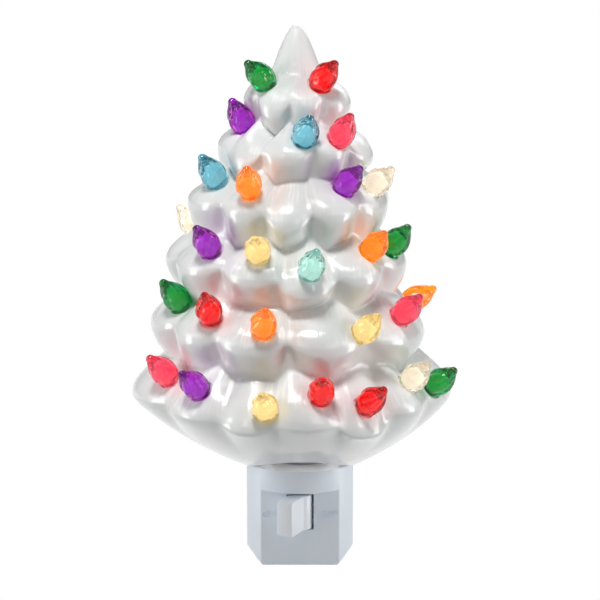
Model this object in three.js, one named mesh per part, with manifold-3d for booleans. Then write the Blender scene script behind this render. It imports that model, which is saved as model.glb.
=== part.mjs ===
// Tree night light: a glazed ceramic tree with pegged colour bulbs on a plug-in lamp base.
//
// Units are millimetres. X runs to the right, Y into the wall and Z up. Heights are measured from the
// underside of the base, and the finished group is lowered at the end, so that the origin is the
// point on the wall face midway between the two plug blades. The tree's axis and the lamp's axis
// stand in front of the wall by axisReach. An azimuth of 0 degrees faces away from the wall.

import * as THREE from "three";
import { mergeVertices } from "three/addons/utils/BufferGeometryUtils.js";
import Module from "manifold-3d";

const wasm = await Module();
wasm.setup();

// Clearances, and how far a cutting shape reaches past what it cuts
const seatGap = 0.3;
const cutMargin = 1;
const backGap = 2;

// Plastic base
const baseWidth = 33;
const baseHeight = 31.2;
const baseReach = 35;
const frontRadius = 18.5;
const shellWall = 2;
const rearShellDepth = 9;
const lipDepth = 2.5;
const lipWall = 1;
const lipRootDepth = 1.5;
const weldOverlap = 0.5;
const cornerChamfer = 5;
const panelHalfWidth = 12.1;
const panelHeight = 24.2;

// Switch
const windowWidth = 8.4;
const windowHeight = 11.5;
const windowBottom = 11.3;
const drumDepth = 2.3;
const leverWidth = 5;
const leverReach = 11.8;
const leverTurn = 24;
const leverCorner = 1.2;
const pivotRadius = 1.2;
const pivotLength = 1.1;
const shelfThickness = 1.5;
const shelfWidth = 12;
const shelfDepth = 3.6;

// Plug
const plugHeight = 15;
const bladeSpacing = 12.7;
const bladeThickness = 1.5;
const lineBladeWidth = 6.35;
const neutralBladeWidth = 7.9;
const bladeLength = 16.5;
const bladeTip = 1.4;
const bladeHoleRadius = 1.6;
const bladeHoleFromTip = 4.8;
const shoulderWidth = 10;
const shoulderDepth = 2.4;
const tailWidth = 4;
const tailReach = 20;

// Housing screws
const screwInset = 4.8;
const screwSpacing = baseWidth - 2 * screwInset;
const screwHeight = 21.5;
const screwRadius = 1.3;
const screwLength = 18;
const screwHeadRadius = 2.5;
const screwHeadHeight = 1.6;
const screwSlotWidth = 0.8;
const screwSlotDepth = 0.7;
const headRecess = 2.3;
const bossRadius = 3.3;
const frontBossLength = 10;

// Lamp holder
const holderSetback = 17;
const axisReach = baseReach - holderSetback;
const sleeveRadius = 8.2;
const sleeveWall = 1.1;
const sleeveBottom = 24.7;
const sleeveFloor = 1.2;
const sleeveTop = 38.5;
const flangeRadius = 9.8;
const flangeThickness = 1.4;
const shellRadius = 6.7;
const shellMetal = 0.5;
const threadDepth = 0.35;
const threadPitch = 2.4;
const terminalWidth = 4;
const contactMetal = 0.4;
const contactLength = 6;
const contactWidth = 5;
const contactTongueWidth = 2;

// Spring clip that centres the tree on the lamp holder
const clipMetal = 0.6;
const clipHeight = 3.4;
const clipAzimuths = [-90, 90, 180];
const clipArmWidth = 5;
const clipPadHeight = 2.6;

// Lamp
const capRadius = 5.9;
const capMetal = 0.5;
const capHeight = 11;
const lampTipRadius = 2.2;
const lampTipHeight = 1.1;
const insulatorHeight = 1.8;
const capRaise = 0.2;
const glassRadius = 11;
const glassHeight = 39;
const glassWall = 0.7;
const glassNeckDepth = 2;
const stemRadius = 1.6;
const stemHeight = 12;
const stemFlare = 3;
const stemFoot = 1;
const leadBend = 2.5;
const leadRise = 2;
const leadSpread = 0.3;
const leadRadius = 0.3;
const filamentHeight = 19;
const filamentSpan = 8.4;
const filamentRadius = 0.18;

// Ceramic tree
const footHeight = 31.5;
const footRadius = 19.5;
const throatRadius = 14.5;
const tipRise = 1;
const tipRadius = 2.1;
const skirtRadius = 47.7;
const archRise = 7;
const archHalfWidth = 17.6;
const creaseNotch = 0.7;
const noseDroop = 2.6;
const noseLevel = 2 / 3;
const noseBluntness = 0.04;
const valleyStrength = -0.3;
const creaseSharpness = 1.5;
const liftSharpness = 0.8;
const crotchNarrowing = 0.5;
const underNarrowing = [0.15, 0.2, 0.4, 0.4, 0.4, 0.45];
const skirtFade = 4;

// The tip's cone, as [height, radius] rings below the rounded point
const tipRings = [[165.2, tipRadius], [160.8, 4.3], [156, 6.2]];
const tipHeight = tipRings[0][0] + tipRise;

// Each tier of branches from the top: the height of its ridge, the radius of the creases between its
// lobes, the sideways lean of the axis, and its lobes as [azimuth, half width, reach, lift]: two
// angles in degrees, the radius of the lobe's nose, and how far its ridge lies above the tier's.
// Its bulbs are [colour, azimuth, place, tilt, turn]: the place on the lobe's top face runs from 0 at
// the crotch to 1 at the ridge, the tilt is the angle above level, and the turn is sideways.
const tiers = [
  { ridge: 143, crease: 15, lean: -1.1, lobes: [
    [-80, 26, 16.2, 1.5], [-27, 21, 17.2, -1.2], [11, 19, 16.8, 0.4], [60, 30, 17.9, 0.3],
    [112, 26, 16.5, 0], [160, 26, 16.5, 0], [-130, 28, 16.5, 0]],
  bulbs: [["green", -50, 0.45, 40, 0], ["red", 34, 0.5, 45, 10]] },
  { ridge: 129, crease: 22, lean: -1.8, lobes: [
    [-84, 24, 23.3, 2], [-46, 20, 24.2, -2.5], [-5, 20, 24.5, 0.2], [31, 17, 24.3, 1.2],
    [72, 24, 25, -2], [116, 24, 24, 0], [158, 24, 24, 0], [-160, 22, 24, 0], [-122, 22, 24, 0]],
  bulbs: [["purple", -70, 0.2, 62, 10], ["blue", 8, 0.45, 50, 10], ["pink", 38, 0.6, 55, 0]] },
  { ridge: 112.5, crease: 28.8, lean: -3.1, lobes: [
    [-68, 27, 32.4, 1.8], [-28, 16, 32.2, 0.6], [-1, 14, 32.2, -2.4], [28, 16.5, 32.6, 0.2],
    [66, 25, 31.2, 0.3], [110, 24, 31.5, 0], [152, 24, 31.5, 0], [-160, 24, 31.5, 0], [-116, 24, 31.5, 0]],
  bulbs: [["blue", -59, 0.35, 55, 0], ["orange", -26, 0.5, 50, 20], ["purple", 38, 0.35, 45, 10],
    ["clear", 64, 0.45, 40, -10]] },
  { ridge: 94.5, crease: 33.9, lean: -3.6, lobes: [
    [-90, 16, 38, 0.8], [-56, 21, 38, 1], [-18, 17, 38.2, 0.3], [9, 16, 38.6, -3.6], [40, 16.5, 38.2, -0.6],
    [76, 20, 37, 0.4], [115, 22, 37.5, 0], [155, 22, 37.5, 0], [-165, 20, 37.5, 0], [-126, 22, 37.5, 0]],
  bulbs: [["clear", -104, 0.2, 50, 0], ["purple", -45, 0.45, 50, 0], ["yellow", -16, 0.35, 35, 10],
    ["mint", 10, 0.6, 50, 10], ["orange", 48, 0.45, 45, -10], ["green", 68, 0.5, 50, -10]] },
  { ridge: 75.5, crease: 39.4, lean: -3.4, lobes: [
    [-77, 20, 43.4, 1.2], [-45, 15, 43.4, 0.6], [-17, 17, 43.6, 0], [17.5, 18, 43.6, -0.6],
    [64, 28, 43.6, -1.4], [112, 22, 41, -4], [152, 22, 43, 0], [-160, 22, 43, 0], [-115, 22, 43, 0]],
  bulbs: [["green", -64, 0.35, 50, 0], ["red", -37, 0.5, 55, 20], ["orange", -11, 0.55, 45, 20],
    ["yellow", 33, 0.85, 45, 10], ["orange", 108, 0.6, 25, 0], ["pink", 57, 0.55, 45, 0]] },
  { ridge: 53, crease: 46.4, lean: -2.6, lobes: [
    [-75, 21, 50.4, 1.4], [-38, 15.5, 50.4, 1], [-16.5, 11, 50.2, -1.4], [5.7, 13.5, 50.4, 0.3],
    [27.5, 11, 50, -3.6], [48, 12, 50.4, 1.8], [78, 20, 50.2, 1.4], [115, 20, 50, 0],
    [152, 22, 50, 0], [-160, 22, 50, 0], [-118, 20, 50, 0]],
  bulbs: [["pink", -58, 0.5, 45, 0], ["purple", -36, 0.45, 40, -10], ["yellow", -9, 0.65, 40, 0],
    ["red", 12, 0.4, 40, -10], ["red", 28, 0.55, 40, 20], ["clear", 52, 0.45, 45, 0],
    ["green", 66, 0.7, 40, -10]] },
];

// The crotch above each tier as [height, radius, swing]: the swing is how far it rises over the
// lobes below it and sinks under the lobes above it.
const crotches = [
  [152, 7.6, 0], [136.5, 13.2, 2.3], [122, 20, 3], [103.6, 26.6, 2.4], [86, 32, 2.2], [66.3, 37.5, 3.4],
];
const crotchSwell = 0.5;

// Cubic handles of a lobe's top face, its underside and the skirt, each as [radius share, height
// share] from the upper end to the lower one
const topHandles = [[0, 0], [0.36, 0.26], [1, 0.6], [1, 1]];
const underHandles = [[0, 0], [0, 0.34], [0.46, 0.8], [1, 1]];
const skirtHandles = [[0, 0], [0.06, 0.26], [0.55, 0.72], [1, 1]];

// The hollow inside the tree as [height, radius, lean] rings from the throat up
const hollowRings = [
  [34.5, throatRadius, 0], [38.5, 19.5, -0.6], [50, 37.5, -2.6], [54, 38, -2.6],
  [66, 33, -3], [75.5, 32.6, -3.4], [86, 27.5, -3.5], [94.5, 27.2, -3.6], [103.5, 22.4, -3.4],
  [112.5, 21.6, -3.1], [122, 15.8, -2.5], [129, 14.8, -1.8], [136.5, 9.2, -1.5], [142, 8.6, -1.1],
  [150, 4.2, -1.1],
];
const hollowTop = 152.5;

// Pegged bulbs
const bulbLength = 11.6;
const bulbRadius = 4.1;
const bulbBaseRadius = 2.9;
const bulbFlutes = 4;
const fluteDepth = 0.25;
const fluteTwist = 70;
const pegRadius = 1.7;
const pegLength = 6;
const pegHoleLength = 12;
const bulbSink = 0.9;
const bulbRelief = 0.5;
const seatFlankShare = 0.3;

// The bulb's outline as [share of its length, share of its widest radius] above its base
const bulbOutline = [[0.12, 0.87], [0.34, 1], [0.55, 0.91], [0.75, 0.66], [0.88, 0.4], [0.94, 0.27]];

const bulbColours = {
  green: 0x0f9d55, red: 0xd8141e, purple: 0x8a1fa8, blue: 0x6fc0dc, pink: 0xf2586a,
  orange: 0xff8a12, yellow: 0xffe08a, mint: 0xa9e6d8, clear: 0xfdeedd,
};

// Fineness
const frontColumns = 54;
const backColumns = 10;
const frontSpan = 100;
const topSteps = [0, 0.3, 0.6, 0.85, 1];
const underSteps = [0.3, 0.65];
const skirtSteps = [0.12, 0.3, 0.52, 0.75, 1];
const hollowSides = 20;
const roundSides = 24;
const threadSides = 16;
const glassSides = 16;
const smallSides = 12;
const bulbSides = 2 * bulbFlutes;

// Materials

function material(color, roughness, metalness, opacity = 1) {
  return new THREE.MeshStandardMaterial({ color, roughness, metalness, opacity, transparent: opacity < 1 });
}

const glaze = material(0xf1f3f1, 0.12, 0);
const whitePlastic = material(0xe4e9ee, 0.38, 0);
const brass = material(0xc9a227, 0.3, 1);
const steel = material(0xb9bcc0, 0.32, 1);
const nickel = material(0xd4d4d0, 0.25, 1);
const clearGlass = material(0xf4f7fa, 0.05, 0, 0.35);
const darkGlass = material(0x1b1c22, 0.2, 0);
const tungsten = material(0x6b6b70, 0.4, 1);

// Solids

const radians = THREE.MathUtils.degToRad;
const degrees = THREE.MathUtils.radToDeg;
const halfTurn = degrees(Math.PI);

// A geometry whose faces point out, with its shared corners merged
function closed(geometry) {
  const plain = geometry.clone();
  plain.deleteAttribute("normal");
  plain.deleteAttribute("uv");
  const merged = mergeVertices(plain, 1e-4);
  const p = merged.attributes.position;
  const index = Array.from(merged.index.array);
  const kept = [];
  let volume = 0;
  for (let i = 0; i < index.length; i += 3) {
    const [a, b, c] = [index[i], index[i + 1], index[i + 2]];
    if (a === b || b === c || c === a) continue;
    kept.push(a, b, c);
    const va = new THREE.Vector3().fromBufferAttribute(p, a);
    const vb = new THREE.Vector3().fromBufferAttribute(p, b);
    const vc = new THREE.Vector3().fromBufferAttribute(p, c);
    volume += va.dot(vb.cross(vc));
  }
  if (volume < 0) {
    kept.reverse();
  }
  merged.setIndex(kept);
  return merged;
}

function solid(geometry) {
  const shape = closed(geometry);
  return new wasm.Manifold(new wasm.Mesh({
    numProp: 3,
    vertProperties: new Float32Array(shape.attributes.position.array),
    triVerts: new Uint32Array(shape.index.array),
  }));
}

function geometryOf(manifold) {
  const mesh = manifold.getMesh();
  const geometry = new THREE.BufferGeometry();
  geometry.setAttribute("position", new THREE.BufferAttribute(new Float32Array(mesh.vertProperties), 3));
  geometry.setIndex(new THREE.BufferAttribute(new Uint32Array(mesh.triVerts), 1));
  geometry.computeVertexNormals();
  return geometry;
}

function box(x0, x1, y0, y1, z0, z1) {
  return new THREE.BoxGeometry(x1 - x0, y1 - y0, z1 - z0)
    .translate((x0 + x1) / 2, (y0 + y1) / 2, (z0 + z1) / 2);
}

// An upright cylinder between two heights
function post(radius, z0, z1, x = 0, y = 0, sides = roundSides) {
  return new THREE.CylinderGeometry(radius, radius, z1 - z0, sides)
    .rotateX(Math.PI / 2).translate(x, y, (z0 + z1) / 2);
}

// A cylinder along Y between two places
function rod(radius, y0, y1, x, z, sides = smallSides) {
  return new THREE.CylinderGeometry(radius, radius, y1 - y0, sides).translate(x, (y0 + y1) / 2, z);
}

// A solid of revolution about Z from [radius, height] points that start and end on the axis, or
// that close on themselves
function turned(points, sides = roundSides) {
  return new THREE.LatheGeometry(points.map(([r, z]) => new THREE.Vector2(r, z)), sides)
    .rotateX(Math.PI / 2);
}

// A closed skin over rings of points, with a pole at each end
function skin(top, rings, bottom) {
  const columns = rings[0].length;
  const points = [top, ...rings.flat(), bottom];
  const index = [];
  const last = points.length - 1;
  for (let c = 0; c < columns; c++) {
    const n = (c + 1) % columns;
    index.push(0, 1 + c, 1 + n);
    for (let r = 0; r + 1 < rings.length; r++) {
      const a = 1 + r * columns;
      const b = a + columns;
      index.push(a + c, b + c, b + n, a + c, b + n, a + n);
    }
    const e = 1 + (rings.length - 1) * columns;
    index.push(e + c, last, e + n);
  }
  const geometry = new THREE.BufferGeometry().setFromPoints(points);
  geometry.setIndex(index);
  return geometry;
}

// A flat outline of [across, along] points, made thick, then laid in the plane that a turn gives
function plate(outline, thickness) {
  const shape = new THREE.Shape(outline.map(([a, b]) => new THREE.Vector2(a, b)));
  return new THREE.ExtrudeGeometry(shape, { depth: thickness, bevelEnabled: false });
}

function wire(points, radius, steps, sides = 6) {
  const path = new THREE.CatmullRomCurve3(points.map(([x, y, z]) => new THREE.Vector3(x, y, z)));
  const section = new THREE.Shape();
  for (let i = 0; i < sides; i++) {
    const turn = (2 * Math.PI * i) / sides;
    const corner = [radius * Math.cos(turn), radius * Math.sin(turn)];
    if (i === 0) section.moveTo(...corner);
    else section.lineTo(...corner);
  }
  return new THREE.ExtrudeGeometry(section, { steps, extrudePath: path });
}

function part(name, geometry, look) {
  const mesh = new THREE.Mesh(closed(geometry), look.clone());
  mesh.geometry.computeVertexNormals();
  mesh.name = name;
  return mesh;
}

function partOf(name, manifold, look) {
  return part(name, geometryOf(manifold), look);
}

// The tree's form

function angleBetween(a, b) {
  return THREE.MathUtils.euclideanModulo(a - b + halfTurn, 2 * halfTurn) - halfTurn;
}

// A lobe's strength across its width: 1 at its nose, 0 at its edge, with a blunt point
function lobeShape(t) {
  const a = Math.sqrt(t * t + noseBluntness);
  return THREE.MathUtils.clamp(1 - 0.3 * a - 0.7 * a ** 3, -2, 1);
}

function softWeights(values, sharpness) {
  const top = Math.max(...values);
  const raw = values.map((v) => Math.exp((v - top) * sharpness));
  const sum = raw.reduce((s, v) => s + v, 0);
  return { weights: raw.map((v) => v / sum), blend: top + Math.log(sum) / sharpness };
}

// A tier's ridge at an azimuth: its radius, height and the strength of the lobe there. A spread
// below 1 narrows the lobes and widens the valleys between them.
function ridgeAt(tier, azimuth, spread = 1) {
  const strengths = tier.lobes.map(([a, half]) => lobeShape(angleBetween(azimuth, a) / (half * spread)));
  const reaches = tier.lobes.map(([, , reach], i) => tier.crease + (reach - tier.crease) * strengths[i]);
  const crisp = softWeights(reaches, creaseSharpness);
  const loose = softWeights(reaches, liftSharpness);
  const strength = crisp.weights.reduce((s, w, i) => s + w * strengths[i], 0);
  const held = THREE.MathUtils.clamp(strength, valleyStrength, 1);
  const lift = loose.weights.reduce((s, w, i) => s + w * tier.lobes[i][3], 0);
  return {
    radius: Math.max(crisp.blend, tier.crease - creaseNotch),
    height: tier.ridge + lift - noseDroop * (held - noseLevel),
    strength: held,
    lean: tier.lean,
  };
}

// The crotch above a tier at an azimuth
function crotchAt(index, azimuth) {
  const [height, radius, swing] = crotches[index];
  const below = ridgeAt(tiers[index], azimuth);
  if (index === 0) {
    return { radius, height, lean: tiers[0].lean };
  }
  const above = ridgeAt(tiers[index - 1], azimuth);
  return {
    radius: radius + crotchSwell * (above.strength + below.strength),
    height: height + swing * (below.strength - above.strength),
    lean: (above.lean + below.lean) / 2,
  };
}

function cubic(handles, s) {
  const q = 1 - s;
  const weights = [q ** 3, 3 * q * q * s, 3 * q * s * s, s ** 3];
  return [0, 1].map((axis) => weights.reduce((sum, w, i) => sum + w * handles[i][axis], 0));
}

function around(radius, azimuth, height, lean) {
  const a = radians(azimuth);
  return new THREE.Vector3(lean + radius * Math.sin(a), -axisReach - radius * Math.cos(a), height);
}

function between(upper, lower, handles, s, azimuth) {
  const [r, z] = cubic(handles, s);
  const radius = THREE.MathUtils.lerp(upper.radius, lower.radius, r);
  const height = THREE.MathUtils.lerp(upper.height, lower.height, z);
  return around(radius, azimuth, height, THREE.MathUtils.lerp(upper.lean, lower.lean, s));
}

function onTopFace(index, azimuth, s) {
  const ridge = ridgeAt(tiers[index], azimuth, 1 - crotchNarrowing * (1 - s));
  return between(crotchAt(index, azimuth), ridge, topHandles, s, azimuth);
}

// The lobes of the lowest tier fade into the smooth cone of the skirt
function onUnderside(index, azimuth, s) {
  const ridge = ridgeAt(tiers[index], azimuth, 1 - underNarrowing[index] * s);
  if (index < tiers.length - 1) {
    return between(ridge, crotchAt(index + 1, azimuth), underHandles, s, azimuth);
  }
  const kept = (1 - s) ** skirtFade;
  const upper = {
    radius: THREE.MathUtils.lerp(skirtRadius, ridge.radius, kept),
    height: THREE.MathUtils.lerp(tiers[index].ridge, ridge.height, kept),
    lean: ridge.lean,
  };
  return between(upper, { radius: footRadius, height: footHeight, lean: 0 }, skirtHandles, s, azimuth);
}

function columnAzimuths() {
  const list = [];
  for (let i = 0; i < frontColumns; i++) {
    list.push(-frontSpan + (2 * frontSpan * i) / frontColumns);
  }
  for (let i = 0; i < backColumns; i++) {
    list.push(frontSpan + (2 * (halfTurn - frontSpan) * i) / backColumns);
  }
  return list;
}

function treeOutside() {
  const azimuths = columnAzimuths();
  const rings = tipRings.map(([z, r]) => azimuths.map((a) => around(r, a, z, tiers[0].lean)));
  tiers.forEach((tier, k) => {
    topSteps.forEach((s) => rings.push(azimuths.map((a) => onTopFace(k, a, s))));
    const steps = k === tiers.length - 1 ? skirtSteps : underSteps;
    steps.forEach((s) => rings.push(azimuths.map((a) => onUnderside(k, a, s))));
  });
  const tip = new THREE.Vector3(tiers[0].lean, -axisReach, tipHeight);
  return skin(tip, rings, new THREE.Vector3(0, -axisReach, footHeight));
}

function treeHollow() {
  const turns = Array.from({ length: hollowSides }, (_, i) => (2 * halfTurn * i) / hollowSides);
  const below = [footHeight - cutMargin, throatRadius, 0];
  const rings = [below, ...hollowRings].reverse()
    .map(([z, r, lean]) => turns.map((a) => around(r, a, z, lean)));
  const top = new THREE.Vector3(tiers[0].lean, -axisReach, hollowTop);
  return skin(top, rings, new THREE.Vector3(0, -axisReach, below[0]));
}

// All bulbs from the top, each with its colour, the point where its base is centred and the turn
// that lays +Z along it
const bulbs = tiers.flatMap((tier, index) => tier.bulbs.map(([colour, azimuth, s, tilt, sideways]) => {
  const turn = new THREE.Euler(radians(90 - tilt), 0, radians(azimuth + sideways), "ZXY");
  const along = new THREE.Vector3(0, 0, 1).applyEuler(turn);
  const seat = onTopFace(index, azimuth, s).addScaledVector(along, -bulbSink);
  return { colour, seat, turn };
}));

function placed(geometry, { seat, turn }) {
  const matrix = new THREE.Matrix4().makeRotationFromEuler(turn).setPosition(seat);
  return geometry.applyMatrix4(matrix);
}

// The room that a bulb takes in the ceramic: a peg hole and a seat that follows its flank
function bulbSocket() {
  const hole = solid(post(pegRadius + seatGap, -pegHoleLength, 0, 0, 0, bulbSides));
  const flank = solid(turned([
    [0, -seatGap], [bulbBaseRadius + bulbRelief, -seatGap],
    [bulbRadius + bulbRelief, bulbLength * seatFlankShare],
    [bulbRadius + bulbRelief, bulbLength], [0, bulbLength],
  ], bulbSides));
  return geometryOf(hole.add(flank));
}

function ceramicTree() {
  const far = 200;
  const archRadius = (archHalfWidth ** 2 + archRise ** 2) / (2 * archRise);
  const archCentre = footHeight + archRise - archRadius;
  const arch = rod(archRadius, -far, -axisReach - sleeveRadius, 0, archCentre, 48);
  let tree = solid(treeOutside());
  tree = tree.subtract(solid(treeHollow()));
  tree = tree.subtract(solid(box(-far, far, -backGap, far, -far, far)));
  tree = tree.subtract(solid(arch));
  for (const bulb of bulbs) {
    tree = tree.subtract(solid(placed(bulbSocket(), bulb)));
  }
  return partOf("ceramic_tree", tree, glaze);
}

// A twisted bulb with a nub at its tip and a peg below its base
function bulbGeometry() {
  const turns = Array.from({ length: bulbSides }, (_, i) => (2 * Math.PI * i) / bulbSides);
  const ring = (z, r, depth) => turns.map((turn, i) => {
    const radius = r - depth * (i % 2);
    const angle = turn + radians(fluteTwist) * Math.max(z, 0) / bulbLength;
    return new THREE.Vector3(radius * Math.cos(angle), radius * Math.sin(angle), z);
  });
  const body = bulbOutline.map(([z, r]) => {
    const depth = fluteDepth * Math.min(1, 4 * (1 - z), 6 * z);
    return ring(z * bulbLength, r * bulbRadius, depth);
  });
  const peg = [ring(0, bulbBaseRadius, 0), ring(0, pegRadius, 0), ring(-pegLength, pegRadius, 0)];
  const rings = [...body.reverse(), ...peg];
  return skin(new THREE.Vector3(0, 0, bulbLength), rings, new THREE.Vector3(0, 0, -pegLength));
}

function bulbMeshes() {
  return bulbs.map((bulb, i) => {
    const number = String(i + 1).padStart(2, "0");
    const look = material(bulbColours[bulb.colour], 0.15, 0, 0.85);
    const mesh = part(`bulb_${number}_${bulb.colour}`, bulbGeometry(), look);
    mesh.position.copy(bulb.seat);
    mesh.rotation.copy(bulb.turn);
    return mesh;
  });
}

// Base housing

// The base's rounded block, drawn in from its outer faces by an inset
function baseBlock(inset) {
  const half = baseWidth / 2 - inset;
  const radius = frontRadius - inset;
  const centre = -baseReach + frontRadius;
  const corner = Math.asin(half / radius);
  const shape = new THREE.Shape();
  shape.moveTo(-half, -inset);
  shape.lineTo(-half, centre - radius * Math.cos(corner));
  shape.absarc(0, centre, radius, -Math.PI / 2 - corner, -Math.PI / 2 + corner, false);
  shape.lineTo(half, -inset);
  shape.closePath();
  const block = new THREE.ExtrudeGeometry(shape, {
    depth: baseHeight - 2 * inset, bevelEnabled: false, curveSegments: 18,
  }).translate(0, 0, inset);
  const cut = cornerChamfer - inset * (2 - Math.SQRT2);
  let result = solid(block);
  for (const side of [-1, 1]) {
    const wedge = plate([[side * half, inset + cut], [side * (half - cut), inset],
      [side * (half + cutMargin), inset - cut], [side * (half + cut), inset]], 2 * baseReach);
    result = result.subtract(solid(wedge.rotateX(Math.PI / 2).translate(0, baseReach / 2, 0)));
  }
  return result;
}

const panelFace = -baseReach + frontRadius - Math.sqrt(frontRadius ** 2 - panelHalfWidth ** 2);
const drumRadius = windowWidth / 2 - seatGap;
const drumAxis = panelFace + drumDepth;
const windowTop = windowBottom + windowHeight;
const bladePlaces = [-bladeSpacing / 2, bladeSpacing / 2];
const screwPlaces = [-screwSpacing / 2, screwSpacing / 2];
const seam = -rearShellDepth;

// The hollow of the base, kept a wall's thickness behind the flat panel
function baseCavity() {
  const cavity = baseBlock(shellWall);
  const behindPanel = box(-baseWidth, baseWidth, -2 * baseReach, panelFace + shellWall,
    -1, panelHeight + shellWall);
  return cavity.subtract(solid(behindPanel));
}

function inFrontOf(y) {
  return solid(box(-baseWidth, baseWidth, -2 * baseReach, y, -baseHeight, 2 * baseHeight));
}

function behind(y) {
  return solid(box(-baseWidth, baseWidth, y, baseReach, -baseHeight, 2 * baseHeight));
}

// The hole in the top of the housing that the lamp holder's sleeve stands in
function sleevePassage() {
  return solid(post(sleeveRadius + seatGap, sleeveBottom, baseHeight + cutMargin, 0, -axisReach));
}

function frontHousing() {
  const inner = panelFace + shellWall;
  let shell = baseBlock(0).subtract(baseCavity()).intersect(inFrontOf(seam - seatGap));
  for (const low of [windowBottom - shelfThickness, windowTop]) {
    shell = shell.add(solid(box(-shelfWidth / 2, shelfWidth / 2, inner - weldOverlap, inner + shelfDepth,
      low, low + shelfThickness)));
  }
  const bossFront = seam - seatGap - lipDepth - seatGap;
  for (const x of screwPlaces) {
    const boss = rod(bossRadius, bossFront - frontBossLength, bossFront, x, screwHeight, smallSides);
    shell = shell.add(solid(boss).intersect(baseBlock(shellWall / 2)));
    const holeFront = -headRecess - screwLength - cutMargin / 2;
    shell = shell.subtract(solid(rod(screwRadius + seatGap, holeFront, 0, x, screwHeight)));
  }
  const pivot = pivotRadius + seatGap;
  shell = shell.subtract(solid(box(-baseWidth, baseWidth, -2 * baseReach, panelFace, -cutMargin, panelHeight)));
  shell = shell.subtract(solid(box(-windowWidth / 2, windowWidth / 2, panelFace - cutMargin,
    inner + shelfDepth + cutMargin, windowBottom, windowTop)));
  shell = shell.subtract(solid(post(pivot, windowBottom - shelfThickness - cutMargin,
    windowTop + shelfThickness + cutMargin / 2, 0, drumAxis, smallSides)));
  shell = shell.subtract(sleevePassage());
  return partOf("front_housing", shell, whitePlastic);
}

function rearHousing() {
  let shell = baseBlock(0).subtract(baseBlock(shellWall)).intersect(behind(seam));
  const lipFront = seam - seatGap - lipDepth;
  const lip = baseBlock(shellWall + seatGap).subtract(baseBlock(shellWall + seatGap + lipWall))
    .intersect(behind(lipFront)).intersect(inFrontOf(seam + lipRootDepth));
  const lipRoot = baseBlock(shellWall - weldOverlap).subtract(baseBlock(shellWall + seatGap + lipWall))
    .intersect(behind(seam)).intersect(inFrontOf(seam + lipRootDepth));
  const flangeRoom = post(flangeRadius + seatGap, sleeveBottom - 1, baseHeight - shellWall, 0, -axisReach);
  shell = shell.add(lip.add(lipRoot).subtract(solid(flangeRoom)));
  const bossRoom = baseBlock(shellWall + seatGap).add(baseBlock(shellWall / 2).intersect(behind(seam)));
  for (const x of screwPlaces) {
    const boss = rod(bossRadius, lipFront, -shellWall / 2, x, screwHeight, smallSides);
    shell = shell.add(solid(boss).intersect(bossRoom));
    shell = shell.subtract(solid(rod(screwRadius + seatGap, -2 * rearShellDepth, 1, x, screwHeight)));
    shell = shell.subtract(solid(rod(screwHeadRadius + seatGap, -headRecess, 1, x, screwHeight)));
  }
  shell = shell.subtract(sleevePassage());
  const widths = [neutralBladeWidth, lineBladeWidth];
  bladePlaces.forEach((x, i) => {
    const half = bladeThickness / 2 + seatGap;
    const tall = widths[i] / 2 + seatGap;
    shell = shell.subtract(solid(box(x - half, x + half, -shellWall - cutMargin, cutMargin,
      plugHeight - tall, plugHeight + tall)));
  });
  return partOf("rear_housing", shell, whitePlastic);
}

function housingScrew(name, x) {
  const shank = solid(rod(screwRadius, -headRecess - screwLength, -headRecess + 0.1, x, screwHeight));
  const headBack = -headRecess + seatGap;
  const head = solid(rod(screwHeadRadius, headBack - 0.2, headBack + screwHeadHeight, x, screwHeight));
  const slotReach = screwHeadRadius + cutMargin;
  const slotFloor = headBack + screwHeadHeight - screwSlotDepth;
  const slot = box(x - slotReach, x + slotReach, slotFloor, cutMargin,
    screwHeight - screwSlotWidth / 2, screwHeight + screwSlotWidth / 2);
  return partOf(name, shank.add(head).subtract(solid(slot)), steel);
}

// A plug blade with rounded corners at its tip, shoulders inside the wall and a tail
function blade(name, x, width, look) {
  const inside = -shellWall - seatGap;
  const half = width / 2;
  const outline = [
    [bladeLength, -half + bladeTip], [bladeLength, half - bladeTip], [bladeLength - bladeTip, half],
    [inside, half], [inside, shoulderWidth / 2],
    [inside - shoulderDepth, shoulderWidth / 2], [inside - shoulderDepth, tailWidth / 2],
    [-tailReach, tailWidth / 2], [-tailReach, -tailWidth / 2], [inside - shoulderDepth, -tailWidth / 2],
    [inside - shoulderDepth, -shoulderWidth / 2], [inside, -shoulderWidth / 2], [inside, -half],
    [bladeLength - bladeTip, -half],
  ];
  const shape = new THREE.Shape(outline.map(([y, z]) => new THREE.Vector2(y, z)));
  const hole = new THREE.Path();
  hole.absarc(bladeLength - bladeHoleFromTip, 0, bladeHoleRadius, 0, 2 * Math.PI, true);
  shape.holes.push(hole);
  const options = { depth: bladeThickness, bevelEnabled: false, curveSegments: 6 };
  const geometry = new THREE.ExtrudeGeometry(shape, options);
  geometry.translate(0, 0, -bladeThickness / 2);
  geometry.applyMatrix4(new THREE.Matrix4().makeBasis(
    new THREE.Vector3(0, 1, 0), new THREE.Vector3(0, 0, 1), new THREE.Vector3(1, 0, 0)));
  return part(name, geometry.translate(x, 0, plugHeight), look);
}

// Switch

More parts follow.
